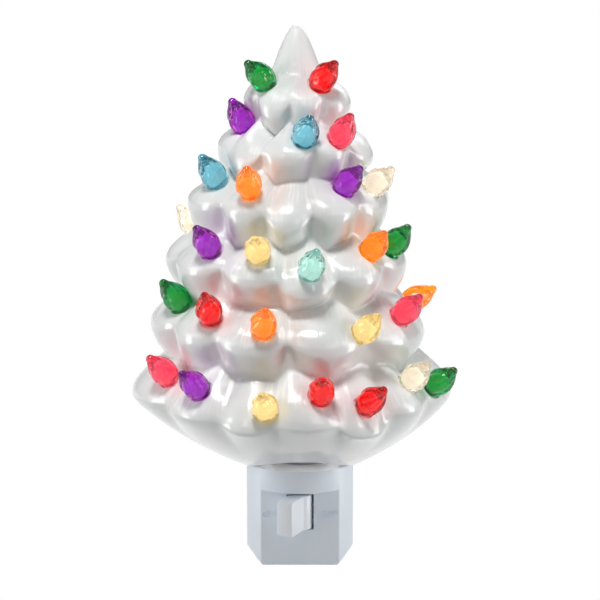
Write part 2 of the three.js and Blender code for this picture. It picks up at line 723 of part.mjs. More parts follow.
// The rocker at its own pivot, pointing straight out; a turn puts it at ON
function switchRocker() {
  const z0 = windowBottom + seatGap;
  const z1 = windowTop - seatGap;
  const pins = post(pivotRadius, z0 - seatGap - pivotLength, z1 + seatGap + pivotLength, 0, 0, smallSides);
  const half = leverWidth / 2;
  const shape = new THREE.Shape();
  shape.moveTo(0, z0);
  shape.lineTo(leverReach - leverCorner, z0);
  shape.quadraticCurveTo(leverReach, z0, leverReach, z0 + leverCorner);
  shape.lineTo(leverReach, z1 - leverCorner / 2);
  shape.lineTo(leverReach - leverCorner / 2, z1);
  shape.lineTo(0, z1);
  shape.closePath();
  const lever = new THREE.ExtrudeGeometry(shape, { depth: leverWidth, bevelEnabled: false, curveSegments: 4 });
  lever.translate(0, 0, -half);
  lever.applyMatrix4(new THREE.Matrix4().makeBasis(
    new THREE.Vector3(0, -1, 0), new THREE.Vector3(0, 0, 1), new THREE.Vector3(-1, 0, 0)));
  const rocker = solid(post(drumRadius, z0, z1, 0, 0, roundSides)).add(solid(pins)).add(solid(lever));
  const mesh = partOf("switch_rocker", rocker, whitePlastic);
  mesh.position.set(0, drumAxis, 0);
  mesh.rotation.z = -radians(leverTurn);
  return mesh;
}

// The leaf beside the line blade's tail that runs behind the rocker
function switchContact() {
  const leafFront = drumAxis + drumRadius + seatGap;
  const footSide = bladeSpacing / 2 - bladeThickness / 2 - seatGap;
  const footEnd = -axisReach + 1;
  const t = contactMetal;
  const outline = [
    [-drumRadius, leafFront], [footSide, leafFront], [footSide, footEnd], [footSide - t, footEnd],
    [footSide - t, leafFront + t], [-drumRadius, leafFront + t],
  ];
  return part("switch_contact", plate(outline, tailWidth).translate(0, 0, plugHeight - tailWidth / 2), brass);
}

// Lamp holder

const holderFloorTop = sleeveBottom + sleeveFloor;
const contactTop = holderFloorTop + seatGap + contactMetal;
const terminalX = -(shellRadius - shellMetal / 2);
const terminalBottom = plugHeight + tailWidth / 2 + seatGap;

function lampholderSleeve() {
  const flangeTop = baseHeight - shellWall - seatGap;
  let sleeve = solid(post(sleeveRadius, sleeveBottom, sleeveTop));
  sleeve = sleeve.add(solid(post(flangeRadius, flangeTop - flangeThickness, flangeTop)));
  sleeve = sleeve.subtract(solid(post(sleeveRadius - sleeveWall, holderFloorTop, sleeveTop + 1)));
  const terminalSlot = box(terminalX - shellMetal / 2 - seatGap, terminalX + shellMetal / 2 + seatGap,
    -terminalWidth / 2 - seatGap, terminalWidth / 2 + seatGap, sleeveBottom - 1, holderFloorTop + 1);
  const slotHalf = contactTongueWidth / 2 + seatGap;
  const contactSlot = box(-slotHalf, slotHalf, -contactLength / 2 - seatGap,
    -contactLength / 2 + contactMetal + seatGap, sleeveBottom - cutMargin, holderFloorTop + cutMargin);
  sleeve = sleeve.subtract(solid(terminalSlot)).subtract(solid(contactSlot));
  const mesh = partOf("lampholder_sleeve", sleeve, whitePlastic);
  mesh.position.y = -axisReach;
  return mesh;
}

// The wavy side of a thread drawn as rings, from one height to another
function threadPoints(radius, depth, z0, z1) {
  const turns = Math.round((z1 - z0) / threadPitch);
  const points = [];
  for (let i = 0; i <= 2 * turns; i++) {
    points.push([radius - (i % 2 ? 0 : depth), z0 + ((z1 - z0) * i) / (2 * turns)]);
  }
  return points;
}

function threadedTube(outerRadius, metal, depth, z0, z1) {
  const outer = threadPoints(outerRadius, depth, z0, z1);
  const inner = threadPoints(outerRadius - metal, depth, z0, z1).reverse();
  return turned([...outer, ...inner, outer[0]], threadSides);
}

function plainTube(outerRadius, wall, z0, z1) {
  return turned([[outerRadius, z0], [outerRadius, z1], [outerRadius - wall, z1], [outerRadius - wall, z0],
    [outerRadius, z0]]);
}

function socketShell() {
  const z0 = holderFloorTop + seatGap;
  const tube = solid(plainTube(shellRadius, shellMetal, z0, sleeveTop - seatGap));
  const tab = box(terminalX - shellMetal / 2, terminalX + shellMetal / 2, -terminalWidth / 2, terminalWidth / 2,
    terminalBottom, z0 + 1);
  const mesh = partOf("socket_shell", tube.add(solid(tab)), brass);
  mesh.position.y = -axisReach;
  return mesh;
}

// A springy leaf under the lamp, with a tongue down through the sleeve's floor
function centreContact() {
  const half = contactLength / 2;
  const top = box(-contactWidth / 2, contactWidth / 2, -half, half, contactTop - contactMetal, contactTop);
  const wide = contactTongueWidth / 2;
  const tongueBottom = plugHeight + tailWidth / 2 + seatGap;
  const tongue = box(-wide, wide, -half, -half + contactMetal, tongueBottom, contactTop);
  const toe = box(-wide, wide, drumAxis + drumRadius + seatGap + axisReach, -half + contactMetal,
    tongueBottom, tongueBottom + contactMetal);
  const mesh = partOf("centre_contact", solid(top).add(solid(tongue)).add(solid(toe)), brass);
  mesh.position.y = -axisReach;
  return mesh;
}

// A band round the sleeve with arms that press outward in the tree's throat
function springClip() {
  const inner = sleeveRadius + seatGap;
  const z0 = baseHeight + seatGap;
  const reach = throatRadius - seatGap;
  let clip = solid(post(inner + clipMetal, z0, z0 + clipHeight));
  for (const azimuth of clipAzimuths) {
    const arm = box(-clipArmWidth / 2, clipArmWidth / 2, -reach, -inner, z0, z0 + clipMetal);
    const pad = box(-clipArmWidth / 2, clipArmWidth / 2, -reach, -reach + clipMetal, z0, z0 + clipPadHeight);
    for (const piece of [arm, pad]) {
      clip = clip.add(solid(piece.rotateZ(radians(azimuth))));
    }
  }
  clip = clip.intersect(solid(post(reach, z0 - 1, z0 + clipHeight + 1, 0, 0, 2 * roundSides)));
  clip = clip.subtract(solid(post(inner, z0 - 1, z0 + clipHeight + 1)));
  const mesh = partOf("spring_clip", clip, steel);
  mesh.position.y = -axisReach;
  return mesh;
}

// Lamp, with heights from the top face of the centre contact

const capBottom = seatGap + lampTipHeight + seatGap + capRaise;
const capTop = capBottom + capHeight;
const neckRadius = capRadius - threadDepth - capMetal - seatGap;
const glassBottom = capTop - glassNeckDepth;
const stemBase = glassBottom + 0.5;
const stemTop = capTop + stemHeight;
const filamentLevel = capTop + filamentHeight;

// The glass outline from the neck to the top, drawn in by an inset
function glassPoints(inset) {
  const r = glassRadius - inset;
  const n = neckRadius - inset;
  const h = glassHeight - inset;
  return [
    [n, glassBottom - (inset ? cutMargin : 0)], [n, capTop + 0.5],
    [0.72 * r, capTop + 0.11 * h], [0.93 * r, capTop + 0.27 * h],
    [r, capTop + 0.42 * h], [0.95 * r, capTop + 0.57 * h], [0.79 * r, capTop + 0.74 * h],
    [0.52 * r, capTop + 0.89 * h], [0.24 * r, capTop + 0.97 * h],
  ];
}

function lampGlass() {
  const top = capTop + glassHeight;
  const outer = [[0, glassBottom], ...glassPoints(0), [0, top]];
  const inner = [[0, glassBottom - 1], ...glassPoints(glassWall), [0, top - glassWall]];
  const shell = solid(turned(outer, glassSides)).subtract(solid(turned(inner, glassSides)));
  return partOf("lamp_glass", shell, clearGlass);
}

function lampCap() {
  return part("lamp_cap", threadedTube(capRadius, capMetal, threadDepth, capBottom, capTop), nickel);
}

function lampInsulator() {
  const r = capRadius - threadDepth - capMetal - seatGap;
  const z0 = seatGap + lampTipHeight + seatGap;
  return part("lamp_insulator", turned([[0, z0], [0.7 * r, z0], [r, z0 + 0.8], [r, z0 + insulatorHeight],
    [0, z0 + insulatorHeight]]), darkGlass);
}

function lampTipContact() {
  const top = seatGap + lampTipHeight;
  return part("lamp_tip_contact", turned([[0, seatGap], [0.6 * lampTipRadius, seatGap + 0.15],
    [lampTipRadius, seatGap + 0.6], [lampTipRadius, top], [0, top]]), nickel);
}

function lampStem() {
  const wide = neckRadius - glassWall - seatGap;
  return part("lamp_stem", turned([[0, stemBase], [wide, stemBase], [wide, stemBase + stemFoot],
    [stemRadius, capTop + stemFlare], [stemRadius, stemTop], [0, stemTop]], smallSides), clearGlass);
}

function lampLead(name, side) {
  const foot = 0.55 * stemRadius;
  const end = filamentSpan / 2;
  return part(name, wire([
    [side * foot, 0, stemTop + seatGap], [side * (foot + leadSpread), 0, stemTop + leadRise],
    [side * end, 0, filamentLevel - leadBend], [side * end, 0, filamentLevel - leadRadius - seatGap],
  ], leadRadius, 10), steel);
}

// The filament sags between its leads in small loops
function lampFilament() {
  const points = [];
  const bends = 8;
  for (let i = 0; i <= bends; i++) {
    const share = i / bends;
    const inside = i > 0 && i < bends;
    const sway = inside ? 0.5 * Math.cos(Math.PI * i) : 0;
    points.push([filamentSpan * (share - 0.5), sway, filamentLevel + 1.6 * Math.sin(Math.PI * share)]);
  }
  return part("lamp_filament", wire(points, filamentRadius, 24, 5), tungsten);
}

// Assembly

function lamp() {
  const group = new THREE.Group();
  group.add(lampGlass(), lampCap(), lampInsulator(), lampTipContact(), lampStem());
  group.add(lampLead("lamp_lead_left", -1), lampLead("lamp_lead_right", 1), lampFilament());
  group.position.set(0, -axisReach, contactTop);
  return group;
}

function base() {
  const group = new THREE.Group();
  group.add(frontHousing(), rearHousing());
  group.add(housingScrew("housing_screw_left", screwPlaces[0]));
  group.add(housingScrew("housing_screw_right", screwPlaces[1]));
  group.add(blade("neutral_blade", bladePlaces[0], neutralBladeWidth, brass));
  group.add(blade("line_blade", bladePlaces[1], lineBladeWidth, brass));
  group.add(switchRocker(), switchContact());
  group.add(lampholderSleeve(), socketShell(), centreContact(), springClip());
  return group;
}

function tree() {
  const group = new THREE.Group();
  group.add(ceramicTree(), ...bulbMeshes());
  group.position.z = baseHeight + seatGap - footHeight;
  return group;
}

const nightLight = new THREE.Group();
nightLight.add(base(), lamp(), tree());
nightLight.position.z = -plugHeight;
nightLight.updateMatrixWorld(true);

export default nightLight;
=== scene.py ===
# %% [markdown]
# A ceramic tree night light in Blender. The object is a white glazed tree, cast hollow and open at
# the back, with twenty-eight small coloured bulbs pegged into its branches. It stands on a plastic
# base that plugs into the wall and holds a lamp. The CAD model gives every size and place, and this
# lesson dresses it: fine surfaces worked out with numpy, and materials made of shader nodes.
# Millimetres are used for the shapes, as on the drawing, and they become metres at the last step.

# %% Load the frame
import math

import bmesh
import bpy
import numpy as np
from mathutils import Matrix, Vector


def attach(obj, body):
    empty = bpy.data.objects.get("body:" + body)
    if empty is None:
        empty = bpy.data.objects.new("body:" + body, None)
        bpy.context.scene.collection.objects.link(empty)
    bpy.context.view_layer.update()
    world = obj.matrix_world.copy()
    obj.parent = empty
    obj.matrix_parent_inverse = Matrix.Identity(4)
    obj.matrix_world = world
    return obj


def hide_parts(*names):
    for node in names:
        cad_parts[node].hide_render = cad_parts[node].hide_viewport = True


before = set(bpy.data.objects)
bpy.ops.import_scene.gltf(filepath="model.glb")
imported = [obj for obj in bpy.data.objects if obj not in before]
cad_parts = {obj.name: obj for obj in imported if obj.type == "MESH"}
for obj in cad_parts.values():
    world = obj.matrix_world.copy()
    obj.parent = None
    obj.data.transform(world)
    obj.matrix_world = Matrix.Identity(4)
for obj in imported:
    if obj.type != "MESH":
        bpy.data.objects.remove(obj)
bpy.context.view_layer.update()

# %% [markdown]
# The camera comes first, because every later choice is judged through it. The photograph was taken
# from straight in front, about 12 degrees above level, with a long lens: the tree's tiers are seen a
# little from above, and the base hardly narrows. A long lens from 0.75 m gives that look. A short lens
# close by would spread the base and hide the tops of the tiers.

# %% Camera
look_at = Vector((0, -0.018, 0.0664))
camera_distance = 0.75
camera_height_angle = math.radians(12)
sensor_width, lens_length = 36, 145.92  # in millimetres, as on a real camera

camera = bpy.data.objects.new("camera", bpy.data.cameras.new("camera"))
bpy.context.scene.collection.objects.link(camera)
camera.data.sensor_width = sensor_width
camera.data.lens = lens_length
camera.location = look_at + camera_distance * Vector(
    (0, -math.cos(camera_height_angle), math.sin(camera_height_angle)))
camera.rotation_euler = (look_at - camera.location).to_track_quat("-Z", "Y").to_euler()
bpy.context.scene.camera = camera
print("camera at", [round(value, 3) for value in camera.location])

# %% [markdown]
# Every finish below is a tree of shader nodes. A few helpers keep them short: one starts a material,
# one turns a colour picked on screen into the linear values that shaders use, one adds a node with
# its values and its links in a single line, and the others mix colours and multiply values.

# %% Helpers for shader nodes
def new_material(name):
    """An empty material with its node tree and its Principled shader."""
    material = bpy.data.materials.new(name)
    material.use_nodes = True
    return material, material.node_tree, material.node_tree.nodes["Principled BSDF"]


def linear(red, green, blue):
    """A colour picked as 0 to 255 on screen, as the linear values that a shader works with."""
    c = np.array([red, green, blue]) / 255
    return (*np.where(c <= 0.04045, c / 12.92, ((c + 0.055) / 1.055) ** 2.4), 1.0)


def node(tree, kind, *links, **values):
    """Adds a node and sets its properties or inputs by name, or an input by its number, as input_1.
    Then it links (socket, input) pairs to it."""
    new = tree.nodes.new("ShaderNode" + kind)
    for key, value in values.items():
        if hasattr(new, key):
            setattr(new, key, value)
        elif key.startswith("input_"):
            new.inputs[int(key.removeprefix("input_"))].default_value = value
        else:
            new.inputs[key.replace("_", " ")].default_value = value
    for socket, name in links:
        tree.links.new(socket, new.inputs[name])
    return new


def mixed(tree, factor, first, second):
    """The colour that a factor mixes from two. A Mix node also has sockets for numbers and vectors, so
    its two colours are inputs 6 and 7, and the mixed one is output 2. Each may be fixed or a socket."""
    mix = node(tree, "Mix", (factor, "Factor"), data_type="RGBA")
    for place, colour in ((6, first), (7, second)):
        if isinstance(colour, tuple):
            mix.inputs[place].default_value = colour
        else:
            tree.links.new(colour, mix.inputs[place])
    return mix.outputs[2]


def larger(tree, first, second):
    """The larger of two values."""
    return node(tree, "Math", (first, 0), (second, 1), operation="MAXIMUM").outputs[0]


def share_of(tree, value, share):
    """A value times a fixed share."""
    return node(tree, "Math", (value, 0), operation="MULTIPLY", input_1=share).outputs[0]


def product(tree, first, second):
    """One value times another."""
    return node(tree, "Math", (first, 0), (second, 1), operation="MULTIPLY").outputs[0]


print("mid grey in linear values:", round(float(linear(128, 128, 128)[0]), 3))

# %% [markdown]
# The photograph is a studio picture on white. A soft lamp high above draws the bright top faces, two
# tall ones at the sides light the flanks of the base, and two narrow strips leave the small crisp
# windows of light on the glaze. A weak one low in front and one behind fill the shadows. A tiny lamp
# inside stands for the night light's own lamp: it shows in the arch of the foot.

# %% Lamps
def soft_lamp(name, place, aim, size, power):
    """A rectangular lamp at a place, turned towards the point that it aims at."""
    data = bpy.data.lights.new(name, "AREA")
    data.shape = "RECTANGLE"
    data.size, data.size_y = size
    data.energy = power
    lamp = bpy.data.objects.new(name, data)
    bpy.context.scene.collection.objects.link(lamp)
    lamp.location = place
    lamp.rotation_euler = (Vector(aim) - Vector(place)).to_track_quat("-Z", "Y").to_euler()


middle = (0, -0.02, 0.07)
soft_lamp("overhead_softbox", (-0.08, -0.30, 0.78), middle, (0.20, 0.14), 3.9)
soft_lamp("left_softbox", (-0.70, -0.14, 0.10), middle, (0.25, 0.6), 2.6)
soft_lamp("right_softbox", (0.70, -0.14, 0.10), middle, (0.25, 0.6), 2.8)
soft_lamp("low_front_softbox", (0, -0.70, -0.30), (0, -0.02, 0.03), (0.5, 0.3), 0.3)
soft_lamp("back_softbox", (0.15, 0.80, 0.45), middle, (0.5, 0.5), 1.6)
soft_lamp("left_strip", (-0.30, -0.55, 0.40), middle, (0.03, 0.30), 0.3)
soft_lamp("right_strip", (0.34, -0.52, 0.36), middle, (0.03, 0.26), 0.25)

glow = bpy.data.objects.new("glow_in_the_hollow", bpy.data.lights.new("glow_in_the_hollow", "POINT"))
bpy.context.scene.collection.objects.link(glow)
glow.location = (0, -0.036, 0.034)  # in the throat, between the lamp and the arch
glow.data.energy = 0.0035
glow.data.shadow_soft_size = 0.004
glow.data.color = (1.0, 0.9, 0.8)
print("lamps:", len(bpy.data.lights))

# %% [markdown]
# The white surround is the world as the camera, the reflections and the clear plastic see it. Light
# Path tells which kind of ray is asking. Rays that light the object find a weak world, so the white
# adds almost no light to the pale glaze, and the glaze mirrors only a share of it.

# %% World
mirrored_share, seen_through_share = 0.3, 0.35
level_for_light, level_for_the_camera = 0.07, 1.0
world = bpy.data.worlds.new("studio")
bpy.context.scene.world = world
world.use_nodes = True
sky = world.node_tree
rays = node(sky, "LightPath").outputs
mirrored = share_of(sky, rays["Is Glossy Ray"], mirrored_share)
seen_through = share_of(sky, rays["Is Transmission Ray"], seen_through_share)
seen = larger(sky, larger(sky, rays["Is Camera Ray"], mirrored), seen_through)
level = node(sky, "MapRange", (seen, "Value"), To_Min=level_for_light, To_Max=level_for_the_camera)
background = sky.nodes["Background"]
sky.links.new(level.outputs["Result"], background.inputs["Strength"])
background.inputs["Color"].default_value = (1, 1, 1, 1)
bpy.context.scene.view_settings.view_transform = "Standard"
print("world nodes:", len(sky.nodes))

# %% [markdown]
# Most pieces are grids: a function of two parameters gives every point at once, and neighbouring
# points are joined by four-sided faces. A closed skin has a single point at each end, like the poles
# of a globe. The helpers below turn such arrays into meshes in metres.

# %% Grids into meshes
drawn_up = 15.0  # the wall face's centre is this far above the underside of the base


def wrapped_faces(rows, columns, ring_of_rings=False):
    """Faces between neighbouring points of rings that close on themselves. In a ring of rings the last
    one joins the first as well, as the inside of a sheet joins its outside at both rims."""
    r, c = np.meshgrid(np.arange(rows if ring_of_rings else rows - 1), np.arange(columns), indexing="ij")
    n = (c + 1) % columns
    below = (r + 1) % rows
    return np.stack([r * columns + c, below * columns + c, below * columns + n, r * columns + n],
                    -1).reshape(-1, 4)


def capped_skin(rings, first_pole, last_pole):
    """Points and faces of a closed skin: rings of points between two poles."""
    rows, columns = rings.shape[:2]
    points = np.concatenate([rings.reshape(-1, 3), [first_pole, last_pole]])
    faces = wrapped_faces(rows, columns).tolist()
    c = np.arange(columns)
    n = (c + 1) % columns
    start = np.full(columns, rows * columns)
    faces += np.stack([start, c, n], -1).tolist()
    end = (rows - 1) * columns
    faces += np.stack([start + 1, end + n, end + c], -1).tolist()
    return points, faces


def piece_from(name, points, faces):
    """A mesh object from points in millimetres above the underside, in metres on the frame."""
    placed = (np.asarray(points, float) - [0, 0, drawn_up]) / 1000
    mesh = bpy.data.meshes.new(name)
    mesh.from_pydata(placed.tolist(), [], faces)
    mesh.update()
    piece = bpy.data.objects.new(name, mesh)
    bpy.context.scene.collection.objects.link(piece)
    return piece


print("faces between 3 rings of 4 points:", len(wrapped_faces(3, 4)))

# %% [markdown]
# A mesh from a formula still needs finishing. Its faces are turned outward, smooth shading hides the
# facets, and edges sharper than an angle stay hard. Cuts are booleans between closed meshes, and the
# result is written into the mesh at once, so that the next cut starts from a finished shape.

# %% Finishing and cutting
def face_outward(piece):
    """Turns every face of a closed mesh to the outside."""
    shape = bmesh.new()
    shape.from_mesh(piece.data)
    bmesh.ops.recalc_face_normals(shape, faces=shape.faces)
    shape.to_mesh(piece.data)
    shape.free()


def smooth(piece, crease_angle=40):
    """Shades a mesh smoothly, but leaves edges sharper than the angle hard."""
    piece.data.shade_smooth()
    piece.data.set_sharp_from_angle(angle=math.radians(crease_angle))


def baked(piece):
    """Applies the piece's modifiers, so that its mesh holds the finished shape."""
    bpy.context.view_layer.update()
    finished = bpy.data.meshes.new_from_object(piece.evaluated_get(bpy.context.evaluated_depsgraph_get()))
    piece.modifiers.clear()
    old = piece.data
    piece.data = finished
    bpy.data.meshes.remove(old)


def carve(piece, cutter):
    """Cuts a closed cutter out of a closed piece, and deletes the cutter."""
    cut = piece.modifiers.new("cut", "BOOLEAN")
    cut.operation = "DIFFERENCE"
    cut.solver = "MANIFOLD"
    cut.object = cutter
    baked(piece)
    bpy.data.objects.remove(cutter)


# %% [markdown]
# The ceramic tree has six tiers of rounded lobes. Going round the axis, each tier's ridge swells at
# a lobe's nose and sinks in the crease between two lobes. Going down the tree, the surface runs from
# a crotch out over a lobe's top face to the ridge, and back in along its underside to the next
# crotch. The tables are the drawing's: azimuth 0 faces the viewer, and lengths are in millimetres.

# %% The tree's tables
axis_reach = 18.0
foot_radius, foot_height = 19.5, 31.5
throat_radius = 14.5
tip_height = 166.2
skirt_radius = 47.7
nose_droop = 2.6

# per tier: ridge height, crease radius, sideways lean, lobes as (azimuth, half width, reach, lift)
tiers = [
    (143.0, 15.0, -1.1, [
        (-80, 26, 16.2, 1.5), (-27, 21, 17.2, -1.2), (11, 19, 16.8, 0.4), (60, 30, 17.9, 0.3),
        (112, 26, 16.5, 0), (160, 26, 16.5, 0), (-130, 28, 16.5, 0)]),
    (129.0, 22.0, -1.8, [
        (-84, 24, 23.3, 2), (-46, 20, 24.2, -2.5), (-5, 20, 24.5, 0.2), (31, 17, 24.3, 1.2),
        (72, 24, 25, -2), (116, 24, 24, 0), (158, 24, 24, 0), (-160, 22, 24, 0), (-122, 22, 24, 0)]),
    (112.5, 28.8, -3.1, [
        (-68, 27, 32.4, 1.8), (-28, 16, 32.2, 0.6), (-1, 14, 32.2, -2.4), (28, 16.5, 32.6, 0.2),
        (66, 25, 31.2, 0.3), (110, 24, 31.5, 0), (152, 24, 31.5, 0), (-160, 24, 31.5, 0),
        (-116, 24, 31.5, 0)]),
    (94.5, 33.9, -3.6, [
        (-90, 16, 38, 0.8), (-56, 21, 38, 1), (-18, 17, 38.2, 0.3), (9, 16, 38.6, -3.6),
        (40, 16.5, 38.2, -0.6), (76, 20, 37, 0.4), (115, 22, 37.5, 0), (155, 22, 37.5, 0),
        (-165, 20, 37.5, 0), (-126, 22, 37.5, 0)]),
    (75.5, 39.4, -3.4, [
        (-77, 20, 43.4, 1.2), (-45, 15, 43.4, 0.6), (-17, 17, 43.6, 0), (17.5, 18, 43.6, -0.6),
        (64, 28, 43.6, -1.4), (112, 22, 41, -4), (152, 22, 43, 0), (-160, 22, 43, 0),
        (-115, 22, 43, 0)]),
    (53.0, 46.4, -2.6, [
        (-75, 21, 50.4, 1.4), (-38, 15.5, 50.4, 1), (-16.5, 11, 50.2, -1.4), (5.7, 13.5, 50.4, 0.3),
        (27.5, 11, 50, -3.6), (48, 12, 50.4, 1.8), (78, 20, 50.2, 1.4), (115, 20, 50, 0),
        (152, 22, 50, 0), (-160, 22, 50, 0), (-118, 20, 50, 0)]),
]
# the crotch above each tier: height, radius, and how far it swings up over the lobes below
crotches = [(152, 7.6, 0), (136.5, 13.2, 2.3), (122, 20, 3), (103.6, 26.6, 2.4), (86, 32, 2.2),
            (66.3, 37.5, 3.4)]
# how much narrower a lobe is at the crotch above it and the one below it than at its ridge
crotch_narrowing, under_narrowing = 0.5, (0.15, 0.2, 0.4, 0.4, 0.4, 0.45)
skirt_fade = 4
# handles of the curves down a top face, an underside and the skirt: (radius share, height share)
top_handles = ((0, 0), (0.36, 0.26), (1.0, 0.60), (1, 1))
under_handles = ((0, 0), (0.0, 0.34), (0.46, 0.80), (1, 1))
skirt_handles = ((0, 0), (0.06, 0.26), (0.55, 0.72), (1, 1))
# the cone at the top: height and radius of its rings
tip_rings = ((165.9, 1.2), (165.2, 2.1), (163, 3.3), (160.8, 4.3), (158.4, 5.3), (156, 6.2), (154, 6.9))
print("lobes:", sum(len(lobes) for *_, lobes in tiers))

# %% [markdown]
# A lobe is strongest at its nose and fades to its sides, and a tier takes the strongest lobe at each
# azimuth. A plain maximum would leave a knife-sharp crease, so the lobes are blended softly.

# %% Ridges
straight_fall, cubic_fall, nose_bluntness = 0.3, 0.7, 0.04
reach_crispness, lift_crispness = 1.5, 0.8  # a larger number gives a sharper crease
crease_notch = 0.7  # a crease may cut this far below the crease radius
weakest, weakest_for_droop, strength_without_droop = -2, -0.3, 2 / 3


def lobe_strength(turn):
    """Nearly 1 at a lobe's nose, falling to 0 at its edge: 1 - s a - c a a a, with a the share of the half
    width, s and c the straight and the cubic fall, and a softened near 0 so that the nose is blunt."""
    a = np.sqrt(turn * turn + nose_bluntness)
    return np.clip(1 - straight_fall * a - cubic_fall * a ** 3, weakest, 1)


def ridge(tier, azimuth, spread=1.0):
    """Radius, height, strength and lean of a tier's ridge. The lobes are blended by a soft maximum:
    the logarithm of a sum of exponentials, which rounds the crease where two of them meet. A spread
    below 1 narrows the lobes and widens the valleys between them."""
    height, crease, lean, lobes = tier
    centre, half, reach, lift = (np.array(values, float)[:, None] for values in zip(*lobes))
    turn = (azimuth[None, :] - centre + 180) % 360 - 180
    strengths = lobe_strength(turn / (half * spread))
    reaches = crease + (reach - crease) * strengths
    top = reaches.max(0)
    crisp = np.exp((reaches - top) * reach_crispness)
    loose = np.exp((reaches - top) * lift_crispness)
    strength = np.clip((crisp * strengths).sum(0) / crisp.sum(0), weakest_for_droop, 1)
    raised = (loose * lift).sum(0) / loose.sum(0)
    radius = np.maximum(top + np.log(crisp.sum(0)) / reach_crispness, crease - crease_notch)
    drooped = height + raised - nose_droop * (strength - strength_without_droop)
    return radius, drooped, strength, lean + 0 * radius


ahead = np.array([0.0])
print("ridge radius straight ahead:", [round(float(ridge(tier, ahead)[0][0]), 1) for tier in tiers])

# %% [markdown]
# A crotch is the crease between two tiers. It swings up where a lobe below pushes into it, and down
# where a lobe above hangs over it. With ridges and crotches known, every band of the surface is drawn
# between one of each along a cubic curve, and a share from 0 to 1 tells how far down it a ring lies.

# %% Crotches and bands
crotch_swell = 0.5  # a crotch is this much wider for each lobe that is at its strongest beside it


def crotch(index, azimuth):
    """Radius, height and lean of the crotch above a tier: it swings up over the lobes below it and
    down under the lobes above it."""
    height, radius, swing = crotches[index]
    below = ridge(tiers[index], azimuth)
    if index == 0:
        return radius + 0 * azimuth, height + 0 * azimuth, below[3]
    above = ridge(tiers[index - 1], azimuth)
    return (radius + crotch_swell * (above[2] + below[2]), height + swing * (below[2] - above[2]),
            (above[3] + below[3]) / 2)


def cubic(handles, share):
    """A cubic curve through four handles, at a share of its length."""
    left = 1 - share
    weights = (left ** 3, 3 * left * left * share, 3 * left * share * share, share ** 3)
    return [sum(w * handle[axis] for w, handle in zip(weights, handles)) for axis in (0, 1)]


def around(radius, azimuth, height, lean):
    """Points at a radius and an azimuth round the tree's leaning axis."""
    turn = np.radians(azimuth)
    return np.stack([lean + radius * np.sin(turn), -axis_reach - radius * np.cos(turn), height], -1)


def strip(upper, lower, handles, share, azimuth):
    """One ring of points between an upper and a lower edge."""
    r, z = cubic(handles, share)
    return around(upper[0] + (lower[0] - upper[0]) * r, azimuth, upper[1] + (lower[1] - upper[1]) * z,
                  upper[-1] + (lower[-1] - upper[-1]) * share)


def top_face(index, azimuth, share):
    """A ring across the top faces of a tier, from its crotch at 0 to its ridge at 1."""
    lower = ridge(tiers[index], azimuth, 1 - crotch_narrowing * (1 - share))
    return strip(crotch(index, azimuth), lower, top_handles, share, azimuth)


def underside(index, azimuth, share):
    """A ring under a tier, from its ridge at 0 to the next crotch, or to the foot, at 1."""
    upper = ridge(tiers[index], azimuth, 1 - under_narrowing[index] * share)
    if index < len(tiers) - 1:
        return strip(upper, crotch(index + 1, azimuth), under_handles, share, azimuth)
    foot = (foot_radius + 0 * azimuth, foot_height + 0 * azimuth, 0 * azimuth)
    kept = (1 - share) ** skirt_fade
    upper = (skirt_radius + (upper[0] - skirt_radius) * kept,
             tiers[index][0] + (upper[1] - tiers[index][0]) * kept, upper[2], upper[3])
    return strip(upper, foot, skirt_handles, share, azimuth)


crotch_radii = [float(crotch(index, ahead)[0][0]) for index in range(len(tiers))]
print("crotch radius straight ahead:", [round(radius, 1) for radius in crotch_radii])

# %% [markdown]
# The casting is one skin of rings from the tip to the foot. The columns are close together at the
# front, where the lobes are looked at, and wider apart at the back. The back plane, the hollow, the
# arch in the foot and the twenty-eight seats are then cut out of it, as they are on the drawing.

# %% The tree's outer skin
def outer_rings(azimuth, top_rows, under_rows, skirt_rows):
    """All rings of the outer skin, from the tip down. An underside ends one ring early, because the
    next tier's top face starts on the same crotch."""
    rings = [around(radius + 0 * azimuth, azimuth, height + 0 * azimuth, tiers[0][2])
             for height, radius in tip_rings]
    for index in range(len(tiers)):
        rings += [top_face(index, azimuth, share) for share in np.linspace(0, 1, top_rows)]
        if index < len(tiers) - 1:
            shares = np.linspace(0, 1, under_rows + 1)[1:-1]
        else:
            shares = np.linspace(0, 1, skirt_rows + 1)[1:]
        rings += [underside(index, azimuth, share) for share in shares]
    return np.array(rings)


def softened(rings, times_round, times_down):
    """Rings with every point drawn towards its neighbours, again and again: p = p / 2 + (a + b) / 4 with
    a and b beside it. It rounds noses and creases as the slip and the glaze do."""
    for _ in range(times_round):
        rings = 0.5 * rings + 0.25 * (np.roll(rings, 1, 1) + np.roll(rings, -1, 1))
    for _ in range(times_down):
        rings[1:-1] = 0.5 * rings[1:-1] + 0.25 * (rings[:-2] + rings[2:])
    return rings


front_limit = 100  # azimuth where the close columns of the front end, on either side
front_columns = np.linspace(-front_limit, front_limit, 381)
back_columns = np.linspace(front_limit, 360 - front_limit, 81)[1:-1]
columns = np.concatenate([front_columns, back_columns])
rings = outer_rings(columns, top_rows=15, under_rows=11, skirt_rows=26)
rings = softened(rings, times_round=14, times_down=2)
points, faces = capped_skin(rings, (tiers[0][2], -axis_reach, tip_height), (0, -axis_reach, foot_height))
casting = piece_from("glazed_tree", points, faces)
face_outward(casting)
print("skin:", rings.shape, "faces:", len(faces))

# %% [markdown]
# The mould leaves the tree hollow, and its back is sawn flat so that it stands close to the wall. Each
# of these is a closed cutter, taken away with a boolean: the hollow, the back, and the shallow arch.

